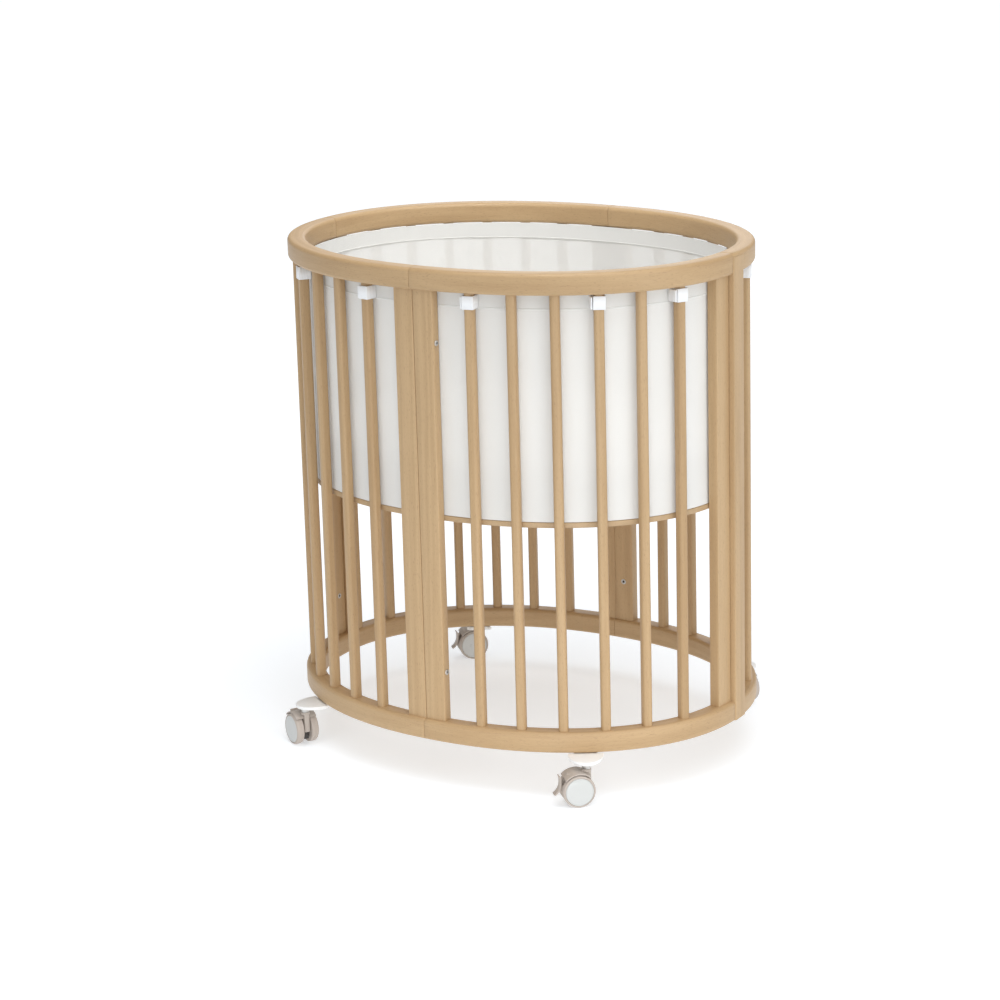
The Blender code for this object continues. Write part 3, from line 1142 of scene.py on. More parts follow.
@dataclass
class Uprights:
    """Slats and end boards of the four panels, with the hardware on the boards.

    Attributes:
        oval: The crib's plan.
        slats_per_panel: Slats in each panel.
        slat_size: Width and depth of a slat.
        slat_round: Radius of its long edges.
        slat_inset: Inset of its middle.
        board_size: Width and depth of a board.
        board_ease: Width of its eased edges.
        board_shift: How far a board's middle moves towards its joint.
        board_inset: Inset of its middle.
        housing: How far an upright goes into the rails.
        post_shift: How far an end post stands out, to cover the ends of the rails.
        post_reach: How far it passes the upright's ends, at its foot and at its head.
        insert_height: Height of the low threaded inserts.
        bolt_heights: Heights of the joint bolts.
    """

    oval: Oval
    slats_per_panel: int = 6
    slat_size: tuple[float, float] = (0.016, 0.017)
    slat_round: float = 0.0056
    slat_inset: float = 0.016
    board_size: tuple[float, float] = (0.0362, 0.018)
    board_ease: float = 0.0015
    board_shift: float = 0.0006
    board_inset: float = 0.0172
    housing: float = 0.0012
    post_shift: float = 0.0087
    post_reach: tuple[float, float] = (0.0322, 0.0270)
    insert_height: float = 0.181
    bolt_heights: tuple[float, float] = (0.1915, 0.740)

    def stick(
        self,
        name: str,
        size: tuple[float, float],
        rounding: float,
        steps: int,
        reach: tuple[float, float] = (0.0, 0.0),
    ) -> bpy.types.Object:
        """Model one upright about the origin, with its long edges rounded.

        Args:
            name: Name of the piece.
            size: Width and depth.
            rounding: Radius of the long edges.
            steps: Segments round each edge.
            reach: How far it goes on below and above the usual length.

        Returns:
            The upright, standing at its real height.
        """
        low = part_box("slat_front_right_1")[0].z - self.housing - reach[0]
        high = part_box("slat_front_right_1")[1].z + self.housing + reach[1]
        deselect()
        bpy.ops.mesh.primitive_cube_add(size=1.0)
        piece = named(name)
        open_edit()
        bpy.ops.transform.resize(value=(*size, high - low))
        bpy.ops.transform.translate(value=(0.0, 0.0, (low + high) / 2))
        choose(piece, edges=upright_edge)
        bpy.ops.mesh.bevel(offset=rounding, segments=steps, affect="EDGES")
        bpy.ops.mesh.select_all(action="SELECT")
        close_edit()
        return smooth(piece, 40.0)

    def stand(self, node: str, inset: float) -> Matrix:
        """Find where an upright stands.

        Args:
            node: The frame's node.
            inset: Inset of its middle.

        Returns:
            Its place, with +Y facing outwards.
        """
        low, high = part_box(node)
        spot = (low + high) / 2
        turn = Matrix.Rotation(self.oval.heading(spot, inset), 4, "Z")
        return Matrix.Translation((spot.x, spot.y, 0.0)) @ turn

    @staticmethod
    def joint_side(spot: Matrix) -> float:
        """Side of a board, along its own X, on which its joint lies.

        Args:
            spot: The board's place.

        Returns:
            1 or -1.
        """
        centre = spot.translation
        if abs(centre.x) < abs(centre.y):
            towards = Vector((-centre.x, 0.0, 0.0))
        else:
            towards = Vector((0.0, -centre.y, 0.0))
        return math.copysign(1.0, spot.col[0].to_3d().dot(towards))

    @staticmethod
    def is_post(corner: Corner, end: str) -> bool:
        """Tell whether a board is one of the two end posts that cover the rails' ends."""
        return end == "end" and corner in (Corner.BACK_RIGHT, Corner.FRONT_LEFT)

    def board_spot(self, corner: Corner, end: str) -> Matrix:
        """Find where a board stands, moved towards its joint.

        Args:
            corner: The board's quarter.
            end: Which of its two boards.

        Returns:
            Its place, with +Y facing outwards.
        """
        spot = self.stand(f"board_{corner.key}_{end}", self.board_inset)
        out = self.post_shift if self.is_post(corner, end) else 0.0
        return spot @ Matrix.Translation((self.joint_side(spot) * self.board_shift, out, 0.0))

    def build(self) -> None:
        """Make every slat and board, and fit the hardware."""
        chance = np.random.default_rng(11)
        slat = self.stick("slat_pattern", self.slat_size, self.slat_round, 6)
        board = self.stick("board_pattern", self.board_size, self.board_ease, 3)
        post = self.stick("post_pattern", self.board_size, self.board_ease, 3, self.post_reach)
        insert = self.insert_pattern()
        bolt = self.bolt_pattern()
        for corner in Corner:
            for index in range(1, self.slats_per_panel + 1):
                node = f"slat_{corner.key}_{index}"
                piece = place(copy_of(slat, f"round_{node}"), self.stand(node, self.slat_inset))
                # Tone starts at 0.35, so every slat is darker: painted shade from the top rail, with a
                # random tone on top of it.
                mark(piece, 0.35 + 0.65 * float(chance.random()))
                finish_piece(piece, UPRIGHT_BEECH, ROOT_BODY, [node])
            for end in ("mid", "end"):
                node = f"board_{corner.key}_{end}"
                spot = self.board_spot(corner, end)
                pattern = post if self.is_post(corner, end) else board
                piece = place(copy_of(pattern, f"wide_{node}"), spot)
                mark(piece, float(chance.random()))
                finish_piece(piece, UPRIGHT_BEECH, ROOT_BODY, [node])
                self.fit_inserts(insert, spot, f"{corner.key}_{end}")
            if corner in (Corner.FRONT_RIGHT, Corner.BACK_LEFT):
                self.fit_bolts(bolt, corner, "mid")
            else:
                self.fit_bolts(bolt, corner, "end")
        for pattern in (slat, board, post, insert, bolt):
            remove(pattern)

    def insert_pattern(self) -> bpy.types.Object:
        """Threaded insert: a flanged steel ring round a bore, facing +Z; the bore's dark look is painted
        shade, a dark disc that fit_inserts sets in.
        """
        flange = [(0.0048, -0.004), (0.0048, 0.0004), (0.0043, 0.0009), (0.0029, 0.0009)]
        flange += [(0.0024, 0.0004), (0.0022, -0.0035)]
        return smooth(turned("insert_pattern", flange, 28), 30.0)

    def bolt_pattern(self) -> bpy.types.Object:
        """Joint bolt: a low domed head with a hexagon socket, facing +Z."""
        head = [(0.0030, -0.006), (0.0030, 0.0), (0.0046, 0.0), (0.0048, 0.0006)]
        head += [(0.0043, 0.0017), (0.0034, 0.0022)]
        bolt = turned("bolt_pattern", head, 32)
        socket = turned("socket", [(0.0023, 0.0005), (0.0023, 0.004)], 6)
        combine(bolt, "DIFFERENCE", socket)
        return smooth(bolt, 30.0)

    def fit_inserts(self, pattern: bpy.types.Object, spot: Matrix, where: str) -> None:
        """Set two threaded inserts into a board's inner face.

        Args:
            pattern: The insert.
            spot: The board's place.
            where: Name of the board.
        """
        inward = turn_by(90.0, "X")
        heights = {"low": self.insert_height, "high": self.bolt_heights[1]}
        for label, z in heights.items():
            seat = Matrix.Translation((0.0, -self.board_size[1] / 2, z)) @ inward
            piece = place(copy_of(pattern, f"insert_{where}_{label}"), spot @ seat)
            finish_piece(piece, PLATED_STEEL, ROOT_BODY)
            # A dark disc sits in each bore: painted shade of the hole.
            painted_shade_plug = turned(f"insert_bore_{where}_{label}", [(0.0021, -0.003), (0.0021, 0.0002)], 16)
            place(painted_shade_plug, spot @ seat)
            finish_piece(painted_shade_plug, DARK_PLASTIC_AND_SHADE, ROOT_BODY)

    def fit_bolts(self, pattern: bpy.types.Object, corner: Corner, end: str) -> None:
        """Set the two joint bolts into the side of a board, away from its joint.

        Args:
            pattern: The bolt.
            corner: The board's quarter.
            end: Which of its two boards.
        """
        spot = self.board_spot(corner, end)
        side = -self.joint_side(spot)
        outward = turn_by(90.0 * side, "Y")
        for label, z in zip(("low", "high"), self.bolt_heights):
            seat = Matrix.Translation((side * self.board_size[0] / 2, 0.0, z)) @ outward
            piece = place(copy_of(pattern, f"bolt_{corner.key}_{end}_{label}"), spot @ seat)
            finish_piece(piece, PLATED_STEEL, ROOT_BODY)
            # A dark hexagon sits on the floor of each socket: painted shade of the hole.
            painted_shade_plug = turned(f"bolt_socket_shade_{corner.key}_{label}", [(0.0021, 0.0003), (0.0021, 0.0009)], 6)
            place(painted_shade_plug, spot @ seat)
            finish_piece(painted_shade_plug, DARK_PLASTIC_AND_SHADE, ROOT_BODY)


# ---------------------------------------------------------------- sleeping platform


@dataclass
class Platform:
    """Mattress base and the padded mattress on it.

    Attributes:
        oval: The crib's plan.
        base_inset: Inset of the base's edge.
        mattress_inset: Inset of the mattress's side.
        mattress_round: Radius of its edges.
        voxel: Cell size of the remesh.
        swell: The most that a point may move in the simulation.
        piping: Radius of the piping.
    """

    oval: Oval
    base_inset: float = 0.0272
    mattress_inset: float = 0.0315
    mattress_round: float = 0.018
    voxel: float = 0.0075
    swell: float = 0.007
    piping: float = 0.0017

    def build(self) -> None:
        """Make the base, the mattress and its piping."""
        low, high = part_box("mattress_base")
        base = self.oval.plate("base_board", self.base_inset, low.z, high.z, 0.0018)
        mark(smooth(base), 0.15)
        finish_piece(base, BASE_BEECH, ROOT_BODY, ["mattress_base"])
        mattress = self.mattress()
        finish_piece(mattress, COVER_JERSEY, ROOT_BODY, ["mattress"])
        for label, drop in (("upper", 0.0), ("lower", 1.0)):
            self.pipe(label, drop)

    def mattress(self) -> bpy.types.Object:
        """Plump the mattress with a pressure simulation."""
        low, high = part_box("mattress")
        slack = 0.004
        piece = self.oval.plate(
            "plump_mattress",
            self.mattress_inset + slack,
            low.z + 0.001,
            high.z - slack,
            self.mattress_round,
        )
        apply_modifier(piece, "REMESH", mode="VOXEL", voxel_size=self.voxel)
        self.inflate(piece, low.z)
        apply_modifier(piece, "SUBSURF", levels=1, render_levels=1)
        mark(piece, 0.4)
        pick(piece)
        bpy.ops.object.shade_smooth()
        return piece

    def inflate(self, piece: bpy.types.Object, floor: float) -> None:
        """Swell a piece with air pressure, within a cap, and keep it on its base.

        Args:
            piece: The remeshed mattress.
            floor: Height of the base under it.
        """
        rest = np.array([vert.co for vert in piece.data.vertices])
        cloth = piece.modifiers.new("plump", "CLOTH")
        cloth.settings.use_pressure = True
        cloth.settings.uniform_pressure_force = 4.0
        cloth.settings.effector_weights.gravity = 0.0
        cloth.settings.tension_stiffness = 20.0
        cloth.settings.compression_stiffness = 20.0
        cloth.settings.quality = 5
        cloth.point_cache.frame_start = 1
        cloth.point_cache.frame_end = 20
        scene = bpy.context.scene
        for frame in range(1, 21):
            scene.frame_set(frame)
        shown = piece.evaluated_get(bpy.context.evaluated_depsgraph_get())
        moved = np.array([vert.co for vert in shown.data.vertices])
        piece.modifiers.remove(cloth)
        scene.frame_set(1)
        step = moved - rest
        reach = np.linalg.norm(step, axis=1, keepdims=True)
        step *= np.minimum(1.0, self.swell / np.maximum(reach, 1e-9))
        final = rest + step
        final[:, 2] = np.maximum(final[:, 2], floor + 0.0004)
        for vert, spot in zip(piece.data.vertices, final):
            spot = Vector(spot)
            limit = self.oval.point(math.atan2(spot.y, spot.x), self.mattress_inset - 0.0012)
            shrink = min(1.0, limit.length / max(spot.xy.length, 1e-9))
            vert.co = Vector((spot.x * shrink, spot.y * shrink, spot.z))

    def pipe(self, label: str, drop: float) -> None:
        """Lay a piping cord round an edge of the mattress.

        Args:
            label: Name of the edge.
            drop: 0 for the upper edge and 1 for the lower.
        """
        low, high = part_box("mattress")
        lean = self.mattress_round * 0.36
        z = high.z - lean if drop == 0.0 else low.z + lean
        guide = self.oval.ring("piping_guide", self.mattress_inset + 0.0052, z)
        piece = smooth(swept(f"mattress_piping_{label}", guide, depth=self.piping), 60.0)
        mark(piece, 0.6)
        finish_piece(piece, COVER_JERSEY, ROOT_BODY)


# ---------------------------------------------------------------- liner


@dataclass
class Liner:
    """Sheer fabric wall with a doubled band, seams and loops round the slats.

    Attributes:
        oval: The crib's plan.
        inset: Inset of the fabric's outer side.
        cloth: Thickness of the mesh.
        band_drop: Height of the doubled band.
        seam_radius: Radius of the seam cord.
        loop_height: Height of a loop.
        looped_slats: The slats of each panel that carry a loop.
    """

    oval: Oval
    inset: float = 0.0282
    cloth: float = 0.0006
    band_drop: float = 0.0280
    seam_radius: float = 0.0006
    loop_height: float = 0.0205
    looped_slats: tuple[int, int, int] = (1, 4, 6)
    extras: list[bpy.types.Object] = field(default_factory=list)

    def wave(self, spot: Vector, low: float, high: float) -> float:
        """How far the fabric stands off its mean line at a point.

        Args:
            spot: A point on the wall.
            low: Height of its lower end.
            high: Height of its upper end.

        Returns:
            The offset outwards, in metres.
        """
        share = (spot.z - low) / (high - low)
        free = math.sin(math.pi * min(1.0, max(0.0, share))) ** 0.6
        along = math.atan2(spot.y, spot.x) * 0.35
        fold = noise.noise(Vector((along * 16.0, spot.z * 1.8, 3.0)))
        ripple = noise.noise(Vector((along * 48.0, spot.z * 4.0, 9.0)))
        return free * (0.0024 * fold + 0.0007 * ripple)

    def wall(self, low: float, high: float) -> bpy.types.Object:
        """Raise the sheer wall and let it ripple.

        Args:
            low: Height of its lower end.
            high: Height of its upper end.

        Returns:
            The fabric wall, with its thickness.
        """
        rows = 44
        levels = [(self.inset, low + (high - low) * row / rows) for row in range(rows + 1)]
        piece = self.oval.tube("sheer_liner", levels, 288)
        for vert in piece.data.vertices:
            out = Vector((vert.co.x, vert.co.y, 0.0)).normalized()
            vert.co += out * self.wave(vert.co, low, high)
        apply_modifier(piece, "SOLIDIFY", thickness=self.cloth, offset=-1.0)
        return piece

    def strip(self, name: str, low: float, high: float, inset: float) -> bpy.types.Object:
        """Make a narrow band of doubled fabric with a rolled lower edge.

        Args:
            name: Name of the band.
            low: Height of its lower edge.
            high: Height of its upper edge.
            inset: Inset of its outer side.

        Returns:
            The band.
        """
        levels = [(inset, low + (high - low) * row / 8) for row in range(9)]
        piece = self.oval.tube(name, levels, 224)
        apply_modifier(piece, "SOLIDIFY", thickness=self.cloth * 3.4, offset=-1.0)
        ease_sharp(piece, 0.0005)
        return smooth(piece, 60.0)

    def trim(self, name: str, z: float, inset: float, radius: float) -> None:
        """Lay a thin cord of stitching or binding round the liner.

        Args:
            name: Name of the cord.
            z: Its height.
            inset: Its inset.
            radius: Its radius.
        """
        guide = self.oval.ring(name + "_guide", inset, z, 224)
        piece = smooth(swept(name, guide, depth=radius), 60.0)
        mark(piece, 0.5)
        # The cord takes the band's greyed cloth, painted shade under the top rail.
        finish_piece(piece, BAND_CLOTH_PAINTED_SHADE, ROOT_BODY)
        self.extras.append(piece)

    def loop_pattern(self) -> bpy.types.Object:
        """Model one loop about its slat, with +Y outwards and its closing tab at +X."""
        width, depth, wall = 0.0182, 0.0196, 0.0008
        tall = self.loop_height
        ring = block("loop_ring", (width, depth, tall), (0.0, -0.0004, 0.0), 0.0001, 1)
        choose(ring, faces=lambda face: abs(face.normal.z) > 0.9)
        bpy.ops.mesh.delete(type="FACE")
        choose(ring, edges=upright_edge)
        bpy.ops.mesh.bevel(offset=0.0052, segments=6, affect="EDGES", clamp_overlap=True)
        close_edit()
        apply_modifier(ring, "SOLIDIFY", thickness=wall, offset=1.0)
        ease_sharp(ring, 0.00025)
        middle = (width / 2 + wall + 0.0024, -0.0015, -0.0006)
        tab = block("loop_tab", (0.0026, 0.0195, tall - 0.0012), middle, 0.0009, 3)
        return smooth(merge([ring, tab], "loop_pattern"), 40.0)

    def loops(self, top: float) -> None:
        """Hang a loop round each looped slat.

        Args:
            top: Height of the top rail's underside.
        """
        chance = np.random.default_rng(5)
        pattern = self.loop_pattern()
        for corner in Corner:
            for index in self.looped_slats:
                low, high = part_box(f"slat_{corner.key}_{index}")
                spot = (low + high) / 2
                drop = 0.0025 + 0.003 * float(chance.random())
                turn = Matrix.Rotation(self.oval.heading(spot, 0.016), 4, "Z")
                tilt = Matrix.Rotation(math.radians(3.0 * float(chance.random()) - 1.5), 4, "Y")
                seat = Matrix.Translation((spot.x, spot.y, top - drop - self.loop_height / 2))
                piece = place(copy_of(pattern, f"loop_{corner.key}_{index}"), seat @ turn @ tilt)
                mark(piece, float(chance.random()))
                finish_piece(piece, LOOP_CLOTH, ROOT_BODY)
                self.extras.append(piece)
        remove(pattern)

    def build(self) -> None:
        """Make the wall, the band, the seams and the loops."""
        low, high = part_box("liner")
        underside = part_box("top_rail_front_right")[0].z
        wall = smooth(self.wall(low.z + 0.0005, high.z), 60.0)
        mark(wall, 0.5)
        finish_piece(wall, SHEER_MESH, ROOT_BODY, ["liner"])
        edge = underside - self.band_drop
        band = self.strip("liner_band", edge, high.z + 0.0006, self.inset - 0.0006)
        mark(band, 0.3)
        # Greyed cloth: painted shade under the top rail.
        finish_piece(band, BAND_CLOTH_PAINTED_SHADE, ROOT_BODY)
        self.extras.append(band)
        self.trim("band_seam_outer", edge + 0.0026, self.inset - 0.0007, self.seam_radius)
        self.trim("band_seam_inner", edge + 0.0026, self.inset + 0.0016, self.seam_radius)
        self.trim("liner_top_binding", high.z - 0.0004, self.inset + 0.0003, 0.0014)
        self.loops(underside)
        flat = (self.oval.perimeter(self.inset), high.z - low.z)
        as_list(self.extras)
        LOG.info("liner is cut from %.3f by %.3f m", *flat)


# ---------------------------------------------------------------- casters


@dataclass
class Caster:
    """One twin-wheel caster under its bracket.

    Attributes:
        corner: Which corner it stands under.
        pivot: Where its pin stands, on the floor.
        heading: Turn about Z that points +Y along its trail.
        bracket_turn: Turn about Z that points the bracket's +Y outwards.
        wheel_radius: Radius of the wheels.
        trail: How far the axle lies behind the pin.
        hinge: Distance behind the pin, and height, of the brake's hinge.
        nose: How far the bracket's rounded nose reaches past the pin.
        nose_half: Half the nose's width where it leaves the rail.
        shoulder: Distance from the pin back to that place.
        arm_reach: How far the bracket's arm reaches in from the pin.
        segments: Sides of a wheel.
    """

    corner: Corner
    pivot: Vector
    heading: float
    bracket_turn: float
    wheel_radius: float = 0.027
    trail: float = 0.016
    hinge: tuple[float, float] = (0.0375, 0.0300)
    nose: float = 0.0150
    nose_half: float = 0.0290
    shoulder: float = 0.0270
    arm_reach: float = 0.056
    segments: int = 48

    @property
    def seat(self) -> Matrix:
        """Place of the caster, with +Y along its trail."""
        return Matrix.Translation(self.pivot) @ Matrix.Rotation(self.heading, 4, "Z")

    @property
    def bracket_seat(self) -> Matrix:
        """Place of the bracket, with +Y outwards."""
        return Matrix.Translation(self.pivot) @ Matrix.Rotation(self.bracket_turn, 4, "Z")

    def bracket(self) -> bpy.types.Object:
        """White half-oval plate with a dished rim, on an arm that runs in under the rail."""
        low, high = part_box(f"bracket_{self.corner.key}")
        thick = high.z - low.z
        reach = self.nose + self.shoulder
        deselect()
        bpy.ops.mesh.primitive_circle_add(vertices=96, radius=1.0, fill_type="NGON")
        open_edit()
        bpy.ops.transform.resize(value=(self.nose_half, reach, 1.0))
        bpy.ops.transform.translate(value=(0.0, -self.shoulder, low.z))
        extrude((0.0, 0.0, thick))
        bpy.ops.mesh.select_all(action="SELECT")
        cut = (0.0, -self.shoulder - 0.004, 0.0)
        bpy.ops.mesh.bisect(plane_co=cut, plane_no=(0.0, 1.0, 0.0), use_fill=True, clear_inner=True)
        close_edit()
        nose = named("nose")
        middle = (low.z + high.z) / 2
        choose(nose, edges=lambda edge: all(vert.co.z < middle for vert in edge.verts))
        bpy.ops.mesh.bevel(offset=0.0034, segments=6, affect="EDGES")
        ease_sharp(nose, 0.0005)
        back = -self.arm_reach
        middle_y = (back - self.shoulder + 0.007) / 2
        size = (0.0385, -self.shoulder + 0.007 - back, 0.0060)
        arm = block("arm", size, (0.0, middle_y, high.z - 0.0030), 0.0008, 2)
        choose(arm, edges=lambda edge: upright_edge(edge) and edge.verts[0].co.y < back + 0.002)
        bpy.ops.mesh.bevel(offset=0.004, segments=4, affect="EDGES")
        close_edit()
        combine(nose, "UNION", arm)
        nose.name = f"bracket_plate_{self.corner.key}"
        place(nose, self.bracket_seat)
        return smooth(nose, 30.0)

    def screws(self) -> bpy.types.Object:
        """Two screw heads under the bracket's arm."""
        low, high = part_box(f"bracket_{self.corner.key}")
        under = high.z - 0.006
        heads = []
        for x in (-0.0105, 0.0105):
            profile = [(0.0024, under - 0.0008), (0.0034, under - 0.0004), (0.0036, under + 0.001)]
            head = turned("screw", profile, 20)
            slot = block("slot", (0.0034, 0.0007, 0.0008), (0.0, 0.0, under - 0.0008), 0.0001, 1)
            combine(head, "DIFFERENCE", slot)
            heads.append(place(head, Matrix.Translation((x, -0.0460, 0.0))))
        pair = merge(heads, f"bracket_screws_{self.corner.key}")
        place(pair, self.bracket_seat)
        return smooth(pair, 30.0)

    def shell(self) -> bpy.types.Object:
        """Taupe hood over the wheels with the plate that carries the axle and the hinge."""
        radius, trail = self.wheel_radius, self.trail
        axle = (0.0, trail, radius)
        hood = self.spun_strip("hood", 0.0190, 0.0019, radius + 0.0015, 42.0, 132.0)
        web = turned("web", [(0.0100, -0.0044), (0.0104, -0.0040), (0.0104, 0.0040), (0.0100, 0.0044)], 36)
        place(web, Matrix.Translation(axle) @ turn_by(90.0, "Y"))
        post = block("post", (0.0094, 0.0160, 0.0340), (0.0, 0.0010, 0.0410), 0.0012, 3)
        brace = block("brace", (0.0086, 0.0240, 0.0120), (0.0, 0.0210, 0.0485), 0.0010, 2)
        tongue = block("tongue", (0.0036, 0.0180, 0.0080), (0.0, 0.0315, 0.0300), 0.0008, 2)
        neck_profile = [(0.0078, 0.0553), (0.0082, 0.0558), (0.0082, 0.0592), (0.0078, 0.0596)]
        neck = turned("neck", neck_profile, 36)
        for part in (web, post, brace, tongue, neck):
            combine(hood, "UNION", part)
        hood.name = f"caster_hood_{self.corner.key}"
        place(hood, self.seat)
        return smooth(hood, 32.0)

    def spun_strip(
        self, name: str, half: float, wall: float, inner: float, start: float, end: float
    ) -> bpy.types.Object:
        """Spin a flat strip about the axle.

        Args:
            name: Name of the piece.
            half: Half its width along the axle.
            wall: Its thickness.
            inner: Its inner radius.
            start: First angle, in degrees above the trail.
            end: Last angle.

        Returns:
            The curved strip, with eased edges.
        """
        deselect()
        bpy.ops.mesh.primitive_plane_add(size=1.0)
        open_edit()
        bpy.ops.transform.resize(value=(2 * half, wall, 1.0))
        bpy.ops.transform.translate(value=(0.0, inner + wall / 2, 0.0))
        bpy.ops.mesh.spin(
            steps=max(4, int((end - start) / 4.5)),
            angle=math.radians(end - start),
            center=(0.0, 0.0, 0.0),
            axis=(1.0, 0.0, 0.0),
        )
        close_edit()
        piece = named(name)
        ease_sharp(piece, min(wall * 0.4, 0.0007), 50.0)
        turned_by = self.spun_direction(piece, start)
        axle = Matrix.Translation((0.0, self.trail, self.wheel_radius))
        return place(piece, axle @ turned_by)

    @staticmethod
    def spun_direction(piece: bpy.types.Object, start: float) -> Matrix:
        """Turn a spun strip so that it rises from its first angle.

        Args:
            piece: The strip, which starts along +Y.
            start: Its first angle, in degrees.

        Returns:
            The rotation about X, with a mirror undone where the spin went down.
        """
        if sum(vert.co.z for vert in piece.data.vertices) <= 0.0:
            pick(piece)
            open_edit()
            bpy.ops.transform.resize(value=(1.0, 1.0, -1.0), center_override=(0.0, 0.0, 0.0))
            bpy.ops.mesh.normals_make_consistent(inside=False)
            bpy.ops.object.mode_set(mode="OBJECT")
        return turn_by(start, "X")

    def stem(self) -> bpy.types.Object:
        """Bright pin between the bracket and the hood."""
        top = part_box(f"bracket_{self.corner.key}")[0].z
        profile = [(0.0070, 0.0594), (0.0072, 0.0598), (0.0072, top - 0.0008), (0.0069, top - 0.0004)]
        profile += [(0.0044, top - 0.0004), (0.0044, top + 0.0030)]
        piece = turned(f"caster_stem_{self.corner.key}", profile, 36)
        return smooth(place(piece, self.seat), 30.0)

    def tyre(self, side: int) -> bpy.types.Object:
        """One wheel: a grooved tread with a rounded shoulder and a recess for its cap.

        Args:
            side: 1 for the wheel at +X and -1 for the other.

        Returns:
            The wheel about the axle.
        """
        radius = self.wheel_radius
        profile = [(0.0070, 0.0068), (0.0245, 0.0072), (0.0262, 0.0076), (radius - 0.0002, 0.0086)]
        profile += [(radius, 0.0096), (radius, 0.0122), (radius - 0.0004, 0.0126), (radius, 0.0130)]
        profile += [(radius, 0.0165), (radius - 0.0004, 0.0184), (radius - 0.0014, 0.0197)]
        profile += [(radius - 0.0026, 0.0204), (0.0237, 0.0204), (0.0235, 0.0190), (0.0060, 0.0190)]
        piece = turned("tyre", profile, self.segments)
        return self.on_axle(piece, side)

    def cap(self, side: int) -> bpy.types.Object:
        """Pale domed cap with a shallow ring round its middle."""
        profile = [(0.0231, 0.0184), (0.0231, 0.0200), (0.0227, 0.0205), (0.0212, 0.0208)]
        profile += [(0.0206, 0.02055), (0.0200, 0.0208), (0.0120, 0.0212), (0.0050, 0.02135)]
        return self.on_axle(turned("cap", profile, self.segments), side)

    def on_axle(self, piece: bpy.types.Object, side: int) -> bpy.types.Object:
        """Turn a piece onto the axle, facing one side."""
        axle = Matrix.Translation((0.0, self.trail, self.wheel_radius))
        return place(piece, axle @ turn_by(90.0 * side, "Y"))

    def axle(self) -> bpy.types.Object:
        """Dark sleeve between the two wheels."""
        profile = [(0.0026, -0.0074), (0.0026, 0.0074)]
        return self.on_axle(turned("axle", profile, 20), 1)

    def shoe(self) -> bpy.types.Object:
        """Dark brake shoe between the wheels, under the post."""
        shoe = block("shoe", (0.0098, 0.0130, 0.0140), (0.0, 0.0050, 0.0172), 0.0016, 3)
        shoe.name = f"brake_shoe_{self.corner.key}"
        return smooth(place(shoe, self.seat), 32.0)

    def pedal(self) -> bpy.types.Object:
        """Brake pedal: two cheeks on the hinge and a slim curved plate with a hook at its top."""
        rear, height = self.hinge
        line = [(0.0462, 0.0518), (0.0448, 0.0500), (0.0440, 0.0465), (0.0438, 0.0410)]
        line += [(0.0445, 0.0345), (0.0465, 0.0290), (0.0500, 0.0240), (0.0535, 0.0212)]
        line += [(0.0548, 0.0205)]
        plate = ribbon("plate", line, 0.0150, 0.0022)
        parts = []
        for side in (-1.0, 1.0):
            centre = (side * 0.0031, rear + 0.0024, height - 0.0004)
            parts.append(block("cheek", (0.0022, 0.0108, 0.0100), centre, 0.0007, 2))
        pin = turned("pin", [(0.0015, -0.0046), (0.0015, 0.0046)], 20)
        turn = turn_by(90.0, "Y")
        parts.append(place(pin, Matrix.Translation((0.0, rear, height)) @ turn))
        for part in parts:
            combine(plate, "UNION", part)
        plate.name = f"brake_lever_{self.corner.key}"
        place(plate, self.seat)
        return smooth(plate, 32.0)

    def build(self) -> None:
        """Make the caster's pieces and fasten each to its body."""
        key = self.corner.key
        body, wheels, brake = f"caster_{key}", f"wheel_pair_{key}", f"brake_pedal_{key}"
        finish_piece(self.bracket(), WHITE_PLASTIC, ROOT_BODY, [f"bracket_{key}"])
        finish_piece(self.screws(), PLATED_STEEL, ROOT_BODY)
        finish_piece(self.shell(), TAUPE_PLASTIC, body, [f"swivel_{key}"])
        finish_piece(self.stem(), PLATED_STEEL, body)
        finish_piece(self.shoe(), DARK_PLASTIC_AND_SHADE, body)
        tyres = merge([self.tyre(1), self.tyre(-1)], f"twin_tyres_{key}")
        place(tyres, self.seat)
        finish_piece(smooth(tyres, 30.0), WHEEL_TREAD, wheels, [f"wheels_{key}"])
        caps = place(merge([self.cap(1), self.cap(-1)], f"wheel_caps_{key}"), self.seat)
        finish_piece(smooth(caps, 30.0), CAP_PLASTIC, wheels)
        axle = place(self.axle(), self.seat)
        axle.name = f"axle_sleeve_{key}"
        finish_piece(smooth(axle, 30.0), DARK_PLASTIC_AND_SHADE, wheels)
        finish_piece(self.pedal(), TAUPE_PLASTIC, brake, [f"brake_{key}"])


# ---------------------------------------------------------------- studio


@dataclass(frozen=True)
class Softbox:
    """One large soft light.

    Attributes:
        name: Name of the light.
        spot: Where it hangs.
        aim: What it points at.
        size: Its width.
        power: Its power in watts.
        spread: Full angle of its beam, in degrees.
    """

    name: str
    spot: tuple[float, float, float]
    aim: tuple[float, float, float]
    size: float
    power: float
    spread: float = 180.0


SOFTBOXES = (
    Softbox("inner_softbox", (0.16, -0.30, 1.95), (-0.15, 0.26, 0.72), 0.6, 2.4, 100.0),
    Softbox("rear_softbox", (-1.7, 3.6, 2.3), (0.0, 0.0, 0.8), 2.6, 26.0),
    Softbox("right_softbox", (2.9, -0.7, 0.75), (0.0, 0.0, 0.35), 1.6, 11.0),
    Softbox("low_softbox", (1.0, -1.75, 0.20), (0.15, -0.3, 0.02), 0.6, 1.2, 65.0),
)


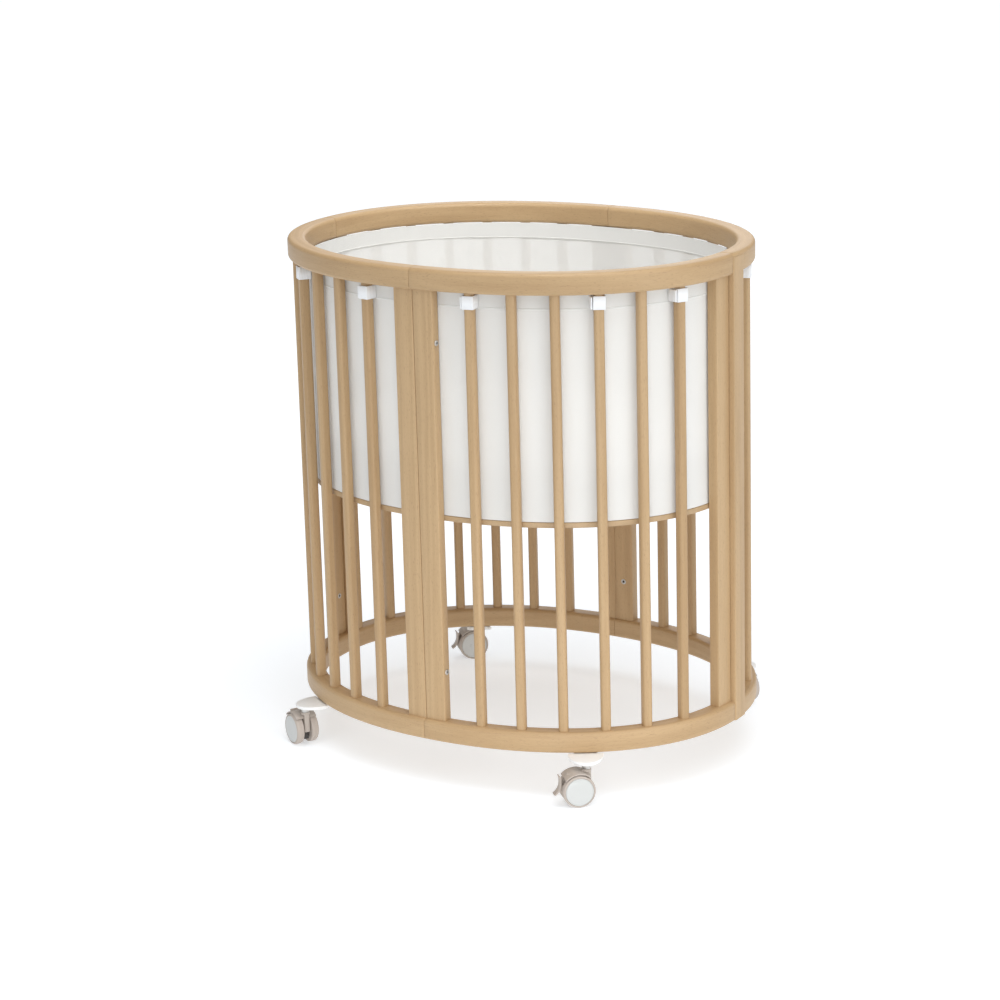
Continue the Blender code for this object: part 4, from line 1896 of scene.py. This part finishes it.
@dataclass
class Studio:
    """Plain white floor, soft lights and the camera.

    Attributes:
        eye: Where the camera stands.
        right: The camera's right.
        up: The camera's up.
        lens: Focal length in millimetres, on a 36 mm sensor.
    """

    eye: tuple[float, float, float] = (2.573, -3.988, 1.713)
    right: tuple[float, float, float] = (0.8391, 0.5433, -0.0261)
    up: tuple[float, float, float] = (-0.1233, 0.2368, 0.9636)
    lens: float = 104.1

    def camera(self) -> None:
        """Stand the camera and make it the scene's own."""
        right = Vector(self.right).normalized()
        up = Vector(self.up).normalized()
        back = right.cross(up).normalized()
        deselect()
        bpy.ops.object.camera_add()
        camera = named("camera")
        turn = Matrix((right, up, back)).transposed().to_4x4()
        camera.matrix_world = Matrix.Translation(self.eye) @ turn
        camera.data.lens = self.lens
        camera.data.sensor_width = 36.0
        bpy.context.scene.camera = camera

    def floor(self) -> None:
        """Lay the floor."""
        deselect()
        bpy.ops.mesh.primitive_grid_add(x_subdivisions=4, y_subdivisions=4, size=80.0)
        sheet = named("studio_floor")
        sheet.data.materials.append(STUDIO_PAPER.material())
        sheet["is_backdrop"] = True

    @staticmethod
    def light(box: Softbox) -> None:
        """Hang one softbox."""
        deselect()
        bpy.ops.object.light_add(type="AREA", location=box.spot)
        lamp = named(box.name)
        lamp.data.shape = "DISK"
        lamp.data.size = box.size
        lamp.data.energy = box.power
        lamp.data.spread = math.radians(box.spread)
        way = Vector(box.aim) - Vector(box.spot)
        lamp.rotation_euler = way.to_track_quat("-Z", "Y").to_euler()

    def sun(self, name: str, way: Sequence[float], spread: float, strength: float) -> None:
        """Light the whole floor evenly from one side of the sky.

        Args:
            name: Name of the light.
            way: Direction towards the light.
            spread: Its angular width in degrees.
            strength: Its strength.
        """
        deselect()
        bpy.ops.object.light_add(type="SUN")
        lamp = named(name)
        lamp.data.energy = strength
        lamp.data.angle = math.radians(spread)
        lamp.rotation_euler = (-Vector(way)).to_track_quat("-Z", "Y").to_euler()

    def build(self) -> None:
        """Set up the whole studio."""
        self.camera()
        self.floor()
        world = bpy.context.scene.world or bpy.data.worlds.new("studio_world")
        bpy.context.scene.world = world
        world.use_nodes = True
        sky = world.node_tree.nodes["Background"]
        sky.inputs["Color"].default_value = (1.0, 1.0, 1.0, 1.0)
        sky.inputs["Strength"].default_value = 0.32
        self.sun("overhead_sun", (0.42, -0.30, 1.0), 80.0, 1.8)
        for box in SOFTBOXES:
            self.light(box)
        bpy.context.scene.view_settings.view_transform = "Standard"


# ---------------------------------------------------------------- assembly


def casters(oval: Oval, joints: Sequence[dict[str, Any]]) -> Iterable[Caster]:
    """Read where the casters stand from the frame's joints.

    Args:
        oval: The crib's plan.
        joints: The frame's joints.

    Returns:
        One caster for each corner.
    """
    by_name = {joint["name"]: joint for joint in joints}
    for corner in Corner:
        anchor = by_name[f"swivel_turn_{corner.key}"]["pos_m"]
        axis = Vector(by_name[f"brake_press_{corner.key}"]["axis"])
        heading = math.atan2(-axis.x, axis.y)
        pivot = Vector((anchor[0], anchor[1], 0.0))
        bracket_turn = oval.heading(pivot, 0.0)
        yield Caster(corner, pivot, heading - math.pi / 2, bracket_turn)


def main() -> None:
    """Build the crib's looks round its frame, class by class."""
    logging.basicConfig(level=logging.INFO, format="%(name)s: %(message)s")
    for item in list(bpy.data.objects):
        bpy.data.objects.remove(item, do_unlink=True)
    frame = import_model()
    cad_low, cad_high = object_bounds()
    oval = Oval(cad_high.x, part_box("top_rail_back_left")[1].y)
    Studio().build()
    Rails(oval).build()
    Uprights(oval).build()
    Platform(oval).build()
    Liner(oval).build()
    for caster in casters(oval, frame["joints"]):
        caster.build()


if __name__ == "__main__":
    main()
